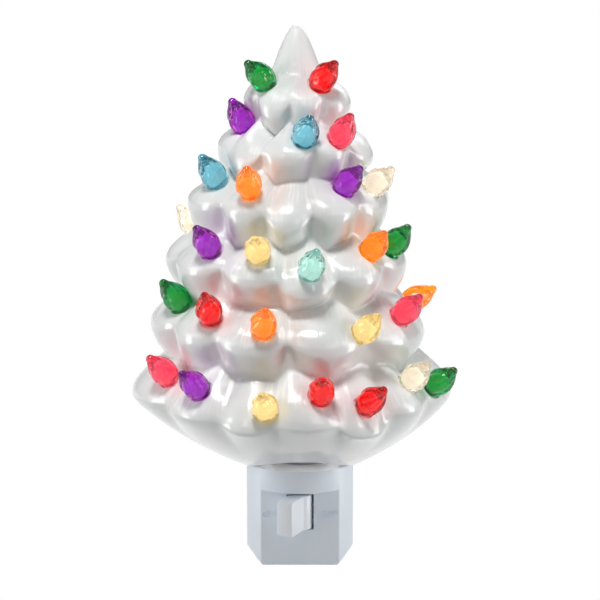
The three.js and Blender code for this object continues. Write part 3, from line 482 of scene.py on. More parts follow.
# %% The hollow
# the hollow's rings from its throat up: (height, radius, lean)
hollow_rings = [
    (34.5, throat_radius, 0), (38.5, 19.5, -0.6), (50, 37.5, -2.6), (54, 38, -2.6), (66, 33, -3),
    (75.5, 32.6, -3.4), (86, 27.5, -3.5), (94.5, 27.2, -3.6), (103.5, 22.4, -3.4), (112.5, 21.6, -3.1),
    (122, 15.8, -2.5), (129, 14.8, -1.8), (136.5, 9.2, -1.5), (142, 8.6, -1.1), (150, 4.2, -1.1)]
hollow_top = 152.5
past_the_foot = 2  # the hollow's cutter starts this far below the foot, so that it opens it


def closed_piece(name, rings, first_pole, last_pole):
    """A cutter from rings and two poles, with its faces outward."""
    piece = piece_from(name, *capped_skin(np.array(rings, float), first_pole, last_pole))
    face_outward(piece)
    return piece


def hollow_cutter():
    """The tree's hollow: many rings from top to bottom, on straight lines between the drawn ones."""
    sides, levels = 96, 90
    turn = np.linspace(0, 360, sides, endpoint=False)
    start = foot_height - past_the_foot
    z, r, lean = np.array([(start, throat_radius, 0), *hollow_rings], float).T
    rings = [around(np.interp(h, z, r) + 0 * turn, turn, h + 0 * turn, np.interp(h, z, lean))
             for h in np.linspace(z[0], z[-1], levels)[::-1]]
    return closed_piece("hollow", rings, (tiers[0][2], -axis_reach, hollow_top), (0, -axis_reach, start))


carve(casting, hollow_cutter())
print("hollow casting:", len(casting.data.vertices), "points")

# %% [markdown]
# The back is one large block, taken away behind the plane where the saw ran. The arch is a rod of a
# large radius: its circle passes through the foot's edge on both sides and the arch's top between them.

# %% The flat back and the arch
back_plane = -2  # the flat back stands this far in front of the wall face
far, below_all, above_all = 200, -100, 300
arch_rise, arch_half_width = 7.0, 17.6
holder_radius = 8.2


def block_cutter(low, high):
    """A plain block between two corners."""
    (x0, y0, z0), (x1, y1, z1) = low, high
    ring = np.array([(x0, y0), (x1, y0), (x1, y1), (x0, y1)])
    rings = [np.column_stack([ring, np.full(4, z)]) for z in (z0, z1)]
    centre = ((x0 + x1) / 2, (y0 + y1) / 2)
    return closed_piece("block", rings, (*centre, z0), (*centre, z1))


def rod_cutter(radius, start, end, sides):
    """A cylinder between two points, which may not lie side by side along X."""
    start, end = np.array(start, float), np.array(end, float)
    along = (end - start) / np.linalg.norm(end - start)
    across = np.cross(along, (1, 0, 0))
    across /= np.linalg.norm(across)
    other = np.cross(along, across)
    turn = np.linspace(0, 2 * np.pi, sides, endpoint=False)[:, None]
    ring = radius * (np.cos(turn) * across + np.sin(turn) * other)
    return closed_piece("rod", [start + ring, end + ring], start, end)


arch_radius = (arch_half_width ** 2 + arch_rise ** 2) / (2 * arch_rise)
arch_centre = foot_height + arch_rise - arch_radius
carve(casting, block_cutter((-far, back_plane, below_all), (far, far, above_all)))
carve(casting, rod_cutter(arch_radius, (0, -far, arch_centre),
                          (0, -axis_reach - holder_radius, arch_centre), sides=128))
print("opened casting:", len(casting.data.vertices), "points")

# %% [markdown]
# Each bulb stands on a lobe's top face, tilted outward and a little to one side. Its place is worked
# out from the same surface as the casting, so that bulb and seat always meet. A turned frame of three
# directions carries every bulb shape from its own upright drawing to its place on the tree.

# %% Where the bulbs stand
# per tier: (colour, azimuth, share down the top face, tilt above level, sideways turn)
bulbs_of_tiers = [
    [("green", -50, 0.45, 40, 0), ("red", 34, 0.5, 45, 10)],
    [("purple", -70, 0.2, 62, 10), ("blue", 8, 0.45, 50, 10), ("pink", 38, 0.6, 55, 0)],
    [("blue", -59, 0.35, 55, 0), ("orange", -26, 0.5, 50, 20), ("purple", 38, 0.35, 45, 10),
     ("clear", 64, 0.45, 40, -10)],
    [("clear", -104, 0.2, 50, 0), ("purple", -45, 0.45, 50, 0), ("yellow", -16, 0.35, 35, 10),
     ("mint", 10, 0.6, 50, 10), ("orange", 48, 0.45, 45, -10), ("green", 68, 0.5, 50, -10)],
    [("green", -64, 0.35, 50, 0), ("red", -37, 0.5, 55, 20), ("orange", -11, 0.55, 45, 20),
     ("yellow", 33, 0.85, 45, 10), ("orange", 108, 0.6, 25, 0), ("pink", 57, 0.55, 45, 0)],
    [("pink", -58, 0.5, 45, 0), ("purple", -36, 0.45, 40, -10), ("yellow", -9, 0.65, 40, 0),
     ("red", 12, 0.4, 40, -10), ("red", 28, 0.55, 40, 20), ("clear", 52, 0.45, 45, 0),
     ("green", 66, 0.7, 40, -10)],
]
bulb_length, bulb_radius, bulb_sink = 11.6, 4.1, 0.9
peg_radius, peg_length = 1.7, 6.0


def bulb_place(index, azimuth, share, tilt, sideways):
    """The centre of a bulb's base and its frame: across, up the slope and along the bulb."""
    way, lift = math.radians(azimuth + sideways), math.radians(tilt)
    across = np.array([math.cos(way), math.sin(way), 0])
    level = math.cos(lift)
    along = np.array([math.sin(way) * level, -math.cos(way) * level, math.sin(lift)])
    seat = top_face(index, np.array([float(azimuth)]), share)[0] - bulb_sink * along
    return seat, np.stack([across, np.cross(along, across), along])


bulbs = [(colour, *bulb_place(index, *rest))
         for index, row in enumerate(bulbs_of_tiers) for colour, *rest in row]
print("bulbs:", len(bulbs))

# %% [markdown]
# Every seat is cut with one solid of revolution: a long peg hole, a flat floor, and a dish that leaves
# an even gap round the bulb's flank. It is turned into place with the bulb's own frame.

# %% Seats for the bulbs
peg_hole_radius, peg_hole_depth = 2.0, 12
# the dish: radius of its floor, radius of its flank, and the share of the bulb where the flank starts
dish_floor_radius, dish_radius, dish_share = 3.4, 4.6, 0.3
seat_gap = 0.3


def turned_rings(profile, sides):
    """Rings of a solid of revolution about its own upright axis, from (radius, height) points."""
    turn = np.linspace(0, 2 * np.pi, sides, endpoint=False)
    r, z = np.array(profile, float).T
    return np.stack([r[:, None] * np.cos(turn), r[:, None] * np.sin(turn), z[:, None] + 0 * turn], -1)


def seat_cutter(seat, frame_of_bulb):
    """The room for one bulb: a hole for its peg, and a dish that follows its flank."""
    profile = [(peg_hole_radius, -peg_hole_depth), (peg_hole_radius, -seat_gap),
               (dish_floor_radius, -seat_gap), (dish_radius, dish_share * bulb_length),
               (dish_radius, bulb_length)]
    rings = turned_rings(profile, sides=40) @ frame_of_bulb + seat
    poles = [np.array([0, 0, z]) @ frame_of_bulb + seat for z in (-peg_hole_depth, bulb_length)]
    return capped_skin(rings, *poles)


for colour, seat, turned in bulbs:
    cutter = piece_from("seat", *seat_cutter(seat, turned))
    face_outward(cutter)
    carve(casting, cutter)
smooth(casting, 42)
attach(casting, "tree")
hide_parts("ceramic_tree")
print("casting with its seats:", len(casting.data.polygons), "faces")

# %% [markdown]
# A bulb is a short twisted flame of clear coloured plastic. Its outline swells above a flat base,
# narrows to a small knob, and six shallow flutes wind round it. A pale core, the hollow of the peg
# seen through the plastic, stands inside. Both are grids of height against the turn about the axis.

# %% Bulb shapes
flutes, flute_depth, flute_twist, flute_fade = 6, 0.13, math.radians(80), 0.6
rows_crowding = 1.15  # above 1 it draws the rows together near the tip
collar_radius, collar_drop = 2.6, 0.05
core_profile, core_ends = [(0.9, 0.9), (2.1, 1.5), (2.35, 4.4), (1.2, 6.6)], (0.7, 7.4)
# the bulb's outline: (share of its length, share of its radius)
bulb_outline = np.array([
    (0.0, 0.68), (0.015, 0.71), (0.05, 0.775), (0.14, 0.88), (0.26, 0.972), (0.36, 1.0), (0.48, 0.965),
    (0.6, 0.845), (0.7, 0.69), (0.79, 0.525), (0.86, 0.39), (0.91, 0.325), (0.95, 0.285), (0.98, 0.2),
    (1.0, 0.07)])


def bulb_rings(columns_of_bulb=72, rows_of_bulb=44):
    """Rings of the bulb's skin: radius = outline(t) * (1 - depth * fade(t) * (1 - |cos(n a / 2)|)), with
    t the share of the length, n flutes, and a the turn less the twist times t. The fade is a power of
    sin(pi t) below 1, so that the flutes vanish only close to the base and the knob."""
    t = 1 - np.linspace(1, 0, rows_of_bulb) ** rows_crowding
    turn = np.linspace(0, 2 * np.pi, columns_of_bulb, endpoint=False)
    radius = bulb_radius * np.interp(t, bulb_outline[:, 0], bulb_outline[:, 1])[:, None]
    a = turn - flute_twist * t[:, None]
    groove = 1 - np.abs(np.cos(flutes * a / 2))
    fade = np.sin(np.pi * np.clip(t, 0.0, 1.0))[:, None] ** flute_fade
    radius = radius * (1 - flute_depth * fade * groove)
    height = np.broadcast_to(bulb_length * t[:, None], radius.shape)
    return np.stack([radius * np.cos(turn), radius * np.sin(turn), height], -1)


print("rings of a bulb:", bulb_rings().shape)

# %% [markdown]
# A whole bulb is one mesh of two closed skins. The fluted skin runs on into the peg below it, and the
# core is a six-sided drop inside. Each face remembers which of the two materials it takes.

# %% A whole bulb
def bulb_mesh(name, seat, turned):
    """One bulb: its fluted skin with the peg below, and a faceted core as a second material."""
    skin_rings = bulb_rings()
    peg = turned_rings([(peg_radius, -peg_length), (peg_radius, -collar_drop), (collar_radius, 0)],
                       skin_rings.shape[1])
    outer, outer_faces = capped_skin(np.concatenate([peg, skin_rings]), (0, 0, -peg_length),
                                     (0, 0, bulb_length))
    inner, inner_faces = capped_skin(turned_rings(core_profile, sides=6),
                                     *((0, 0, z) for z in core_ends))
    points = np.concatenate([outer, inner]) @ turned + seat
    faces = outer_faces + [tuple(i + len(outer) for i in face) for face in inner_faces]
    piece = piece_from(name, points, faces)
    face_outward(piece)
    smooth(piece, 28)
    materials_of_faces = np.zeros(len(faces), np.int32)
    materials_of_faces[len(outer_faces):] = 1
    piece.data.polygons.foreach_set("material_index", materials_of_faces)
    return piece


print("the first bulb stands at", bulbs[0][1].round(1))

# %% [markdown]
# The bulbs are coloured plastic with light in it. The skin lets light through and tints it, and a
# soft glow of its own stands for the lamp behind the tree. Rays that leave the camera see a mild glow;
# rays that light the glaze see a stronger one, so that each bulb throws its colour on the lobes round it.

# %% Bulb materials
# per colour: body, core, and how strongly it glows for the camera and for the glaze
bulb_looks = {
    "green": ((0, 150, 84), (60, 240, 140), 0.0, 0.1),
    "red": ((222, 0, 22), (255, 60, 56), 0.02, 0.35),
    "purple": ((180, 30, 176), (220, 130, 250), 0.0, 0.25),
    "blue": ((120, 206, 226), (216, 246, 250), 0.0, 0.1),
    "pink": ((250, 80, 116), (255, 160, 176), 0.04, 0.3),
    "orange": ((255, 150, 0), (255, 190, 60), 0.10, 0.5),
    "yellow": ((255, 226, 158), (255, 242, 206), 0.08, 0.15),
    "mint": ((180, 238, 226), (240, 252, 248), 0.03, 0.1),
    "clear": ((255, 240, 220), (255, 250, 240), 0.08, 0.1),
}


def opaque(colour):
    """A colour of three values as the four that a socket takes."""
    return (*colour, 1)


def glowing(tree, shader, colour, seen, thrown):
    """Emission that the camera sees weakly and the other surfaces receive strongly."""
    lights_others = node(tree, "LightPath").outputs["Is Diffuse Ray"]
    glow = mixed(tree, lights_others, opaque(seen * colour), opaque(thrown * colour))
    tree.links.new(glow, shader.inputs["Emission Color"])
    shader.inputs["Emission Strength"].default_value = 1.0


def bulb_material(name):
    """The skin of a bulb in one colour: tinted clear plastic with small ripples."""
    body, core, seen, thrown = bulb_looks[name]
    material, tree, shader = new_material("bulb " + name)
    place = node(tree, "TexCoord").outputs["Object"]
    cloud = node(tree, "TexNoise", (place, "Vector"), Scale=420.0, Detail=2.0)
    deep, pale = np.array(linear(*body)[:3]), np.array(linear(*core)[:3])
    light_tone = np.minimum(1, 0.8 * deep + 0.3 * pale)
    tint = mixed(tree, cloud.outputs["Fac"], opaque(0.85 * deep), opaque(light_tone))
    tree.links.new(tint, shader.inputs["Base Color"])
    ripple = node(tree, "TexVoronoi", (place, "Vector"), Scale=560.0)
    bump = node(tree, "Bump", (ripple.outputs["Distance"], "Height"), Strength=0.5, Distance=0.0005)
    tree.links.new(bump.outputs["Normal"], shader.inputs["Normal"])
    shader.inputs["Transmission Weight"].default_value = 0.96
    shader.inputs["Roughness"].default_value = 0.03
    shader.inputs["IOR"].default_value = 1.49
    glowing(tree, shader, deep, seen, thrown)
    return material


def core_material(name):
    """The faceted core inside a bulb: paler than the skin, and brighter by a stronger glow of its own,
    painted light that stands for the lamp behind the tree.
    """
    _, core, seen, thrown = bulb_looks[name]
    material, tree, shader = new_material("bulb core " + name)
    place = node(tree, "TexCoord").outputs["Object"]
    grain = node(tree, "TexNoise", (place, "Vector"), Scale=900.0, Detail=3.0)
    rough = node(tree, "MapRange", (grain.outputs["Fac"], "Value"), To_Min=0.1, To_Max=0.3)
    tree.links.new(rough.outputs["Result"], shader.inputs["Roughness"])
    shader.inputs["Base Color"].default_value = linear(*core)
    shader.inputs["Transmission Weight"].default_value = 0.3
    # the core's glow is painted light, which the camera sees even where the skin shows none
    glowing(tree, shader, np.array(linear(*core)[:3]), 1.2 * seen + 0.1, thrown)
    return material


print("bulb colours:", len(bulb_looks))

# %% [markdown]
# Now every bulb of the table is made, in its own place and its own colour. Bulbs of one colour share
# their two materials, and each rides on the tree's body, so that it goes up when the tree is lifted.

# %% The bulbs
# each colour's skin and core
looks_of_bulbs = {name: (bulb_material(name), core_material(name)) for name in bulb_looks}
for number, (colour, seat, turned) in enumerate(bulbs, 1):
    name = f"bulb_{number:02d}_{colour}"
    bulb = bulb_mesh("twisted_" + name, seat, turned)
    for look in looks_of_bulbs[colour]:
        bulb.data.materials.append(look)
    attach(bulb, "tree")
    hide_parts(name)
print("bulb faces:", len(bulb.data.polygons))

# %% [markdown]
# The glaze is a thick clear layer over a white body. Under it the mould's needle strokes still show
# on the top faces as fine streaks that catch the light, and the glaze pools slightly darker in places.
# The strokes run down the slopes, so their pattern is drawn on the turn about the axis.

# %% Strokes in the glaze
glaze, tree, shader = new_material("white glaze")
place = node(tree, "TexCoord").outputs
spot = place["Object"]
axes = node(tree, "SeparateXYZ", (spot, "Vector")).outputs
forward = node(tree, "Math", (axes["Y"], 0), operation="ADD", input_1=axis_reach / 1000).outputs[0]
turn_about = node(tree, "Math", (axes["X"], 0), (forward, 1), operation="ARCTAN2").outputs[0]
wander = node(tree, "TexNoise", (spot, "Vector"), Scale=90.0, Detail=1.0).outputs["Fac"]
bent = node(tree, "Math", (wander, 0), (turn_about, 2), operation="MULTIPLY_ADD", input_1=0.12).outputs[0]
stroke_place = node(tree, "CombineXYZ", (bent, "X"), (axes["Z"], "Y")).outputs[0]
stroke_scale = node(tree, "VectorMath", (stroke_place, 0), operation="MULTIPLY", input_1=(46.0, 90.0, 1.0))
strokes = node(tree, "TexNoise", (stroke_scale.outputs[0], "Vector"), Scale=1.0, Detail=3.0,
               Roughness=0.6).outputs["Fac"]
print("strokes: nodes so far", len(tree.nodes))

# %% [markdown]
# The strokes show only on faces that look up, and there only in patches, as where the mould pressed
# harder. One mask holds both. The same strokes bend the coat's highlights, and faint pale lines
# along them, on the upward faces, are painted highlights in the white.

# %% Where the strokes show
facing = node(tree, "SeparateXYZ", (place["Normal"], "Vector")).outputs["Z"]
on_top = node(tree, "MapRange", (facing, "Value"), From_Min=0.1, From_Max=0.5, To_Max=1.0)
patches = node(tree, "TexNoise", (spot, "Vector"), Scale=110.0, Detail=1.0).outputs["Fac"]
in_patch = node(tree, "MapRange", (patches, "Value"), From_Min=0.42, From_Max=0.58, To_Min=0.15)
where = product(tree, on_top.outputs["Result"], in_patch.outputs["Result"])
centred = node(tree, "MapRange", (strokes, "Value"), To_Min=-0.5, To_Max=0.5)
stroke_height = product(tree, centred.outputs["Result"], where)
# pale lines where the strokes would catch the light: painted highlights on the upward faces
lines = node(tree, "MapRange", (strokes, "Value"), From_Min=0.5, From_Max=0.62, To_Max=0.6)
painted_highlight_lines = product(tree, lines.outputs["Result"], where)
print("masks: nodes so far", len(tree.nodes))

# %% [markdown]
# The body under the glaze is rough and of two near whites, with painted highlight lines along the
# strokes, and the clear coat over it is sharp. Only the coat's normal is bent, by the strokes and by a
# slow swell, so the highlights break up and the shading of the white body stays soft.

# %% Glaze
darker_white, paler_white, painted_highlight_white = (0.71, 0.73, 0.72, 1), (0.79, 0.80, 0.79, 1), (0.93, 0.94, 0.93, 1)
stroke_bump = node(tree, "Bump", (stroke_height, "Height"), Strength=1.0, Distance=0.0005)
swell = node(tree, "TexNoise", (spot, "Vector"), Scale=55.0, Detail=2.0)
glaze_bump = node(tree, "Bump", (swell.outputs["Fac"], "Height"), (stroke_bump.outputs["Normal"], "Normal"),
                  Strength=0.25, Distance=0.0012)
tree.links.new(glaze_bump.outputs["Normal"], shader.inputs["Coat Normal"])
pooled = node(tree, "TexNoise", (spot, "Vector"), Scale=35.0, Detail=4.0)
white = mixed(tree, pooled.outputs["Fac"], darker_white, paler_white)
# the body's white takes the painted highlight lines along the strokes
tree.links.new(mixed(tree, painted_highlight_lines, white, painted_highlight_white), shader.inputs["Base Color"])
shader.inputs["Roughness"].default_value = 0.35
shader.inputs["Coat Weight"].default_value = 1.0
shader.inputs["Specular IOR Level"].default_value = 0.35
shader.inputs["Coat Roughness"].default_value = 0.02
shader.inputs["Coat IOR"].default_value = 1.5
casting.data.materials.clear()
casting.data.materials.append(glaze)
print("glaze nodes:", len(tree.nodes))

# %% [markdown]
# The moulded plastic parts, the metal parts and the lamp holder keep the drawing's shapes, which are
# already right. A copy of each has its loose triangles joined into whole faces, and its sharp edges
# get the small rounding that a mould or a die leaves. That rounding is what catches light on plastic.

# %% Rounded copies of the drawn parts
same_place = 2e-6  # corners closer than this, in metres, are one
flat_angle, sharp_angle = math.radians(0.6), math.radians(28)


def rounded_copy(name, part, width, body, segments=3):
    """A copy of a drawn part with joined faces and edges rounded by a width in millimetres."""
    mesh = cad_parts[part].data.copy()
    shape = bmesh.new()
    shape.from_mesh(mesh)
    bmesh.ops.remove_doubles(shape, verts=shape.verts, dist=same_place)
    bmesh.ops.dissolve_limit(shape, angle_limit=flat_angle, verts=shape.verts, edges=shape.edges)
    shape.to_mesh(mesh)
    shape.free()
    mesh.name = name
    piece = bpy.data.objects.new(name, mesh)
    bpy.context.scene.collection.objects.link(piece)
    rounding = piece.modifiers.new("rounding", "BEVEL")
    rounding.width = width / 1000
    rounding.segments = segments
    rounding.limit_method = "ANGLE"
    rounding.angle_limit = sharp_angle
    baked(piece)
    smooth(piece, 40)
    piece.data.materials.clear()
    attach(piece, body)
    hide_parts(part)
    return piece


front = rounded_copy("moulded_front_housing", "front_housing", 0.35, "base")
rear = rounded_copy("moulded_rear_housing", "rear_housing", 0.25, "base")
rocker = rounded_copy("moulded_switch_rocker", "switch_rocker", 0.45, "switch", 4)
sleeve = rounded_copy("moulded_lampholder_sleeve", "lampholder_sleeve", 0.2, "base")
for piece in (front, rear, rocker, sleeve):
    print(piece.name, len(piece.data.polygons), "faces")

# %% [markdown]
# ON and OFF stand a little proud of the recessed panel on either side of the lever, as plain moulded
# letters. A text object is laid out flat, made a mesh, and then stood up against the panel.

# %% Switch letters
panel_face = -30.493  # the recessed panel, in front of the wall face
letter_height, letter_rise = 2.9, 0.4
letter_edge, letter_root = 0.05, 0.02  # the rounding of an edge, and how deep a letter is rooted


def moulded_word(word, x, z):
    """A raised word on the panel, centred on a point, in the frame's metres."""
    curve = bpy.data.curves.new("word_" + word, "FONT")
    curve.body = word
    curve.size = letter_height
    curve.align_x, curve.align_y = "CENTER", "CENTER"
    curve.extrude = letter_rise / 2
    curve.bevel_depth = letter_edge
    curve.bevel_resolution = 1
    curve.resolution_u = 6
    laid = bpy.data.objects.new("word_" + word, curve)
    bpy.context.scene.collection.objects.link(laid)
    bpy.context.view_layer.update()
    mesh = bpy.data.meshes.new_from_object(laid.evaluated_get(bpy.context.evaluated_depsgraph_get()))
    bpy.data.objects.remove(laid)
    flat = np.empty(3 * len(mesh.vertices))
    mesh.vertices.foreach_get("co", flat)
    u, v, w = flat.reshape(-1, 3).T
    stood = np.stack([x + u, panel_face + letter_root - w, z + v - drawn_up], -1) / 1000
    mesh.vertices.foreach_set("co", stood.ravel())
    mesh.update()
    piece = bpy.data.objects.new("moulded_word_" + word.lower(), mesh)
    bpy.context.scene.collection.objects.link(piece)
    smooth(piece, 30)
    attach(piece, "base")
    return piece


words = [moulded_word("ON", -9.6, 16.4), moulded_word("OFF", 9.1, 16.2)]
print("letters:", [len(word.data.polygons) for word in words])

# %% [markdown]
# Two effects are shared by several finishes. Moulded plastic carries the fine spark texture of its
# mould and a faint cloudiness; drawn or stamped metal carries long fine scratches and a little
# tarnish. Each is a node group with its own numbers in every material that uses it.

# %% Mould texture
def effect_group(name, numbers, outputs):
    """An empty node group with number inputs and named outputs, and its end nodes."""
    group = bpy.data.node_groups.new(name, "ShaderNodeTree")
    for label, value in numbers.items():
        socket = group.interface.new_socket(label, in_out="INPUT", socket_type="NodeSocketFloat")
        socket.default_value = value
    for label, kind in outputs.items():
        group.interface.new_socket(label, in_out="OUTPUT", socket_type="NodeSocket" + kind)
    return group, group.nodes.new("NodeGroupInput"), group.nodes.new("NodeGroupOutput")


spark, given, made = effect_group(
    "mould texture", {"Grain scale": 2200.0, "Grain height": 0.00003, "Cloud scale": 60.0},
    {"Cloud": "Float", "Normal": "Vector"})
place = node(spark, "TexCoord").outputs["Object"]
grain = node(spark, "TexNoise", (place, "Vector"), (given.outputs["Grain scale"], "Scale"), Detail=2.0)
cloud = node(spark, "TexNoise", (place, "Vector"), (given.outputs["Cloud scale"], "Scale"), Detail=3.0)
bump = node(spark, "Bump", (grain.outputs["Fac"], "Height"), (given.outputs["Grain height"], "Distance"),
            Strength=0.6)
spark.links.new(cloud.outputs["Fac"], made.inputs["Cloud"])
spark.links.new(bump.outputs["Normal"], made.inputs["Normal"])
print("mould texture nodes:", len(spark.nodes))

# %% [markdown]
# Metal is drawn or rolled in one direction, so its scratches are noise stretched along Y. Tarnish is a
# slower noise. It darkens the tone and dulls the shine in the same places, as it does on old brass.

# %% Scratches and tarnish
scratched, given, made = effect_group(
    "drawn metal", {"Scratch scale": 900.0, "Scratch height": 0.00002, "Tarnish scale": 220.0},
    {"Tarnish": "Float", "Roughness": "Float", "Normal": "Vector"})
place = node(scratched, "TexCoord").outputs["Object"]
stretched = node(scratched, "Mapping", (place, "Vector"))
stretched.inputs["Scale"].default_value = (1.0, 0.06, 1.0)
lines = node(scratched, "TexNoise", (stretched.outputs[0], "Vector"),
             (given.outputs["Scratch scale"], "Scale"), Detail=3.0)
stain = node(scratched, "TexNoise", (place, "Vector"), (given.outputs["Tarnish scale"], "Scale"),
             Detail=4.0)
dulled = node(scratched, "MapRange", (stain.outputs["Fac"], "Value"), From_Min=0.35, From_Max=0.7,
              To_Min=0.2, To_Max=0.42)
bump = node(scratched, "Bump", (lines.outputs["Fac"], "Height"),
            (given.outputs["Scratch height"], "Distance"), Strength=0.5)
scratched.links.new(stain.outputs["Fac"], made.inputs["Tarnish"])
scratched.links.new(dulled.outputs["Result"], made.inputs["Roughness"])
scratched.links.new(bump.outputs["Normal"], made.inputs["Normal"])
print("metal nodes:", len(scratched.nodes))

# %% [markdown]
# A shared effect is placed in a material with that material's own numbers, and its mask mixes two near
# tones. No surface is one flat colour, so even plain plastic gets two.

# %% Placing an effect
def with_effect(tree, group, **numbers):
    """Places a shared effect in a material, with this material's own numbers."""
    placed = tree.nodes.new("ShaderNodeGroup")
    placed.node_tree = group
    for label, value in numbers.items():
        placed.inputs[label.replace("_", " ")].default_value = value
    return placed


def two_tones(tree, shader, mask, first, second):
    """Base colour that a mask mixes from two near tones."""
    tree.links.new(mixed(tree, mask, first, second), shader.inputs["Base Color"])


print("shared effects:", len(bpy.data.node_groups))

# %% [markdown]
# The housing's white is a little cool beside the glaze, and the rocker's is a shade paler and smoother,
# as it comes from another mould. The blades are brass, the clip and the screws steel, and the lamp's
# cap is nickel plated, so four near greys and yellows tell the metals apart.

# %% Plastic and metal materials
def plastic(name, first, second, roughness, grain_height):
    """Moulded white plastic in two near tones."""
    material, tree, shader = new_material(name)
    effect = with_effect(tree, spark, Grain_height=grain_height)
    two_tones(tree, shader, effect.outputs["Cloud"], first, second)
    tree.links.new(effect.outputs["Normal"], shader.inputs["Normal"])
    shader.inputs["Roughness"].default_value = roughness
    shader.inputs["Subsurface Weight"].default_value = 0.05
    shader.inputs["Subsurface Scale"].default_value = 0.001
    return material


def metal(name, first, second, scratch_height=0.00002):
    """Drawn or stamped metal in two near tones."""
    material, tree, shader = new_material(name)
    effect = with_effect(tree, scratched, Scratch_height=scratch_height)
    two_tones(tree, shader, effect.outputs["Tarnish"], first, second)
    tree.links.new(effect.outputs["Roughness"], shader.inputs["Roughness"])
    tree.links.new(effect.outputs["Normal"], shader.inputs["Normal"])
    shader.inputs["Metallic"].default_value = 1.0
    return material


housing_plastic = plastic("housing plastic", linear(232, 240, 250), linear(237, 244, 252), 0.36, 0.00003)
switch_plastic = plastic("switch plastic", linear(238, 243, 250), linear(243, 247, 252), 0.28, 0.00002)
blade_brass = metal("blade brass", linear(222, 184, 96), linear(196, 150, 66))
contact_brass = metal("contact brass", linear(214, 172, 84), linear(184, 140, 62))
screw_steel = metal("screw steel", linear(196, 198, 202), linear(160, 162, 168))
spring_steel = metal("spring steel", linear(178, 180, 184), linear(140, 142, 148))
cap_nickel = metal("cap nickel", linear(222, 220, 214), linear(188, 184, 176), 0.00001)
print("materials so far:", len(bpy.data.materials))

# %% [markdown]
# The rounded copies of the plastic parts now get their looks. The letters take the housing's plastic,
# because they are moulded in one piece with it.

# %% The plastic parts' looks
for piece in (front, rear, sleeve, *words):
    piece.data.materials.clear()
    piece.data.materials.append(housing_plastic)
rocker.data.materials.append(switch_plastic)
print("rocker:", rocker.data.materials[0].name)

# %% [markdown]
# The metal parts are stamped or turned. They too are rounded copies, with very small edges, because
# sheet metal has only a slight burr. The blades catch the eye behind the base, so they get the most.

# %% Metal parts
metal_parts = [
    ("stamped_neutral_blade", "neutral_blade", 0.18, "base", "blade_brass", blade_brass),
    ("stamped_line_blade", "line_blade", 0.18, "base", "blade_brass", blade_brass),
    ("turned_housing_screw_left", "housing_screw_left", 0.12, "base", "screw_steel", screw_steel),
    ("turned_housing_screw_right", "housing_screw_right", 0.12, "base", "screw_steel", screw_steel),
    ("stamped_switch_contact", "switch_contact", 0.08, "base", "contact_brass", contact_brass),
    ("stamped_centre_contact", "centre_contact", 0.08, "base", "contact_brass", contact_brass),
    ("rolled_spring_clip", "spring_clip", 0.12, "base", "spring_steel", spring_steel),
    ("rolled_socket_shell", "socket_shell", 0.08, "base", "contact_brass", contact_brass),
]
for name, part, width, body, slot_name, look in metal_parts:
    piece = rounded_copy(name, part, width, body, 2)
    piece.data.materials.append(look)
print("metal parts:", len(metal_parts))

# %% [markdown]
# The lamp is a small candelabra night light bulb. Its glass, insulator and tip are turned profiles; the
# cap is rolled sheet whose thread winds down it; the leads and the coiled filament are wires carried
# along a path. All stand on the axis of the lamp holder.

# %% Turned and wound lamp parts
cap_bottom, cap_top = 28.5, 39.5
glass_bottom, glass_top, neck = 37.5, 78.4, 4.75
straight_neck_top, glass_wall = 40.0, 0.7


def on_axis(rings):
    """Moves rings from their own axis to the lamp holder's."""
    return np.asarray(rings, float) + [0, -axis_reach, 0]


def smooth_profile(points, count):
    """Points along a smooth curve through the given ones: a Catmull-Rom spline worked out for all
    pieces at once, p(t) = (2 b + (c - a) t + (2 a - 5 b + 4 c - d) t t + (3 b - a - 3 c + d) t t t) / 2."""
    p = np.array(points, float)
    p = np.vstack([2 * p[0] - p[1], p, 2 * p[-1] - p[-2]])
    s = np.linspace(0, len(points) - 1 - 1e-9, count)
    i = s.astype(int)
    t = (s - i)[:, None]
    a, b, c, d = p[i], p[i + 1], p[i + 2], p[i + 3]
    return (2 * b + (c - a) * t + (2 * a - 5 * b + 4 * c - d) * t ** 2 + (3 * b - a - 3 * c + d) * t ** 3) / 2


def dressed(piece, part, look):
    """Gives a lamp part its material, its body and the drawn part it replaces."""
    face_outward(piece)
    piece.data.materials.append(look)
    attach(piece, "lamp")
    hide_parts(part)


def lamp_piece(name, part, rings, low, high, look):
    """A closed lamp part from rings about the lamp's axis, between two poles on it or near it. A pole is
    a height on the axis, or a point beside it."""
    poles = [(0, 0, pole) if np.isscalar(pole) else pole for pole in (low, high)]
    piece = piece_from(name, *capped_skin(on_axis(rings), *on_axis(poles)))
    dressed(piece, part, look)
    smooth(piece, 45)


glass_points = [(neck, glass_bottom), (neck, straight_neck_top), (7.92, 43.79), (10.23, 50.03), (11, 55.88),
                (10.45, 61.73), (8.69, 68.36), (5.72, 74.21), (2.64, 77.4), (0.25, glass_top)]
outer_profile = smooth_profile(glass_points, 70)
outer_profile[:, 0] = np.clip(outer_profile[:, 0], 0.1, 10.98)
inner_profile = outer_profile[::-1].copy()
inner_profile[:, 0] = np.maximum(inner_profile[:, 0] - glass_wall, 0.05)
inner_profile[:, 1] = np.minimum(inner_profile[:, 1], glass_top - glass_wall)
inner_profile[-6:, 1] = np.minimum(inner_profile[-6:, 1], straight_neck_top)
print("glass wall in mm:", glass_wall)

# %% [markdown]
# The lamp's glass is clear and slightly uneven, as blown glass is, with a thin film that dulls it here
# and there. The insulator is black glass. The tungsten glows a little, because the night light is on.

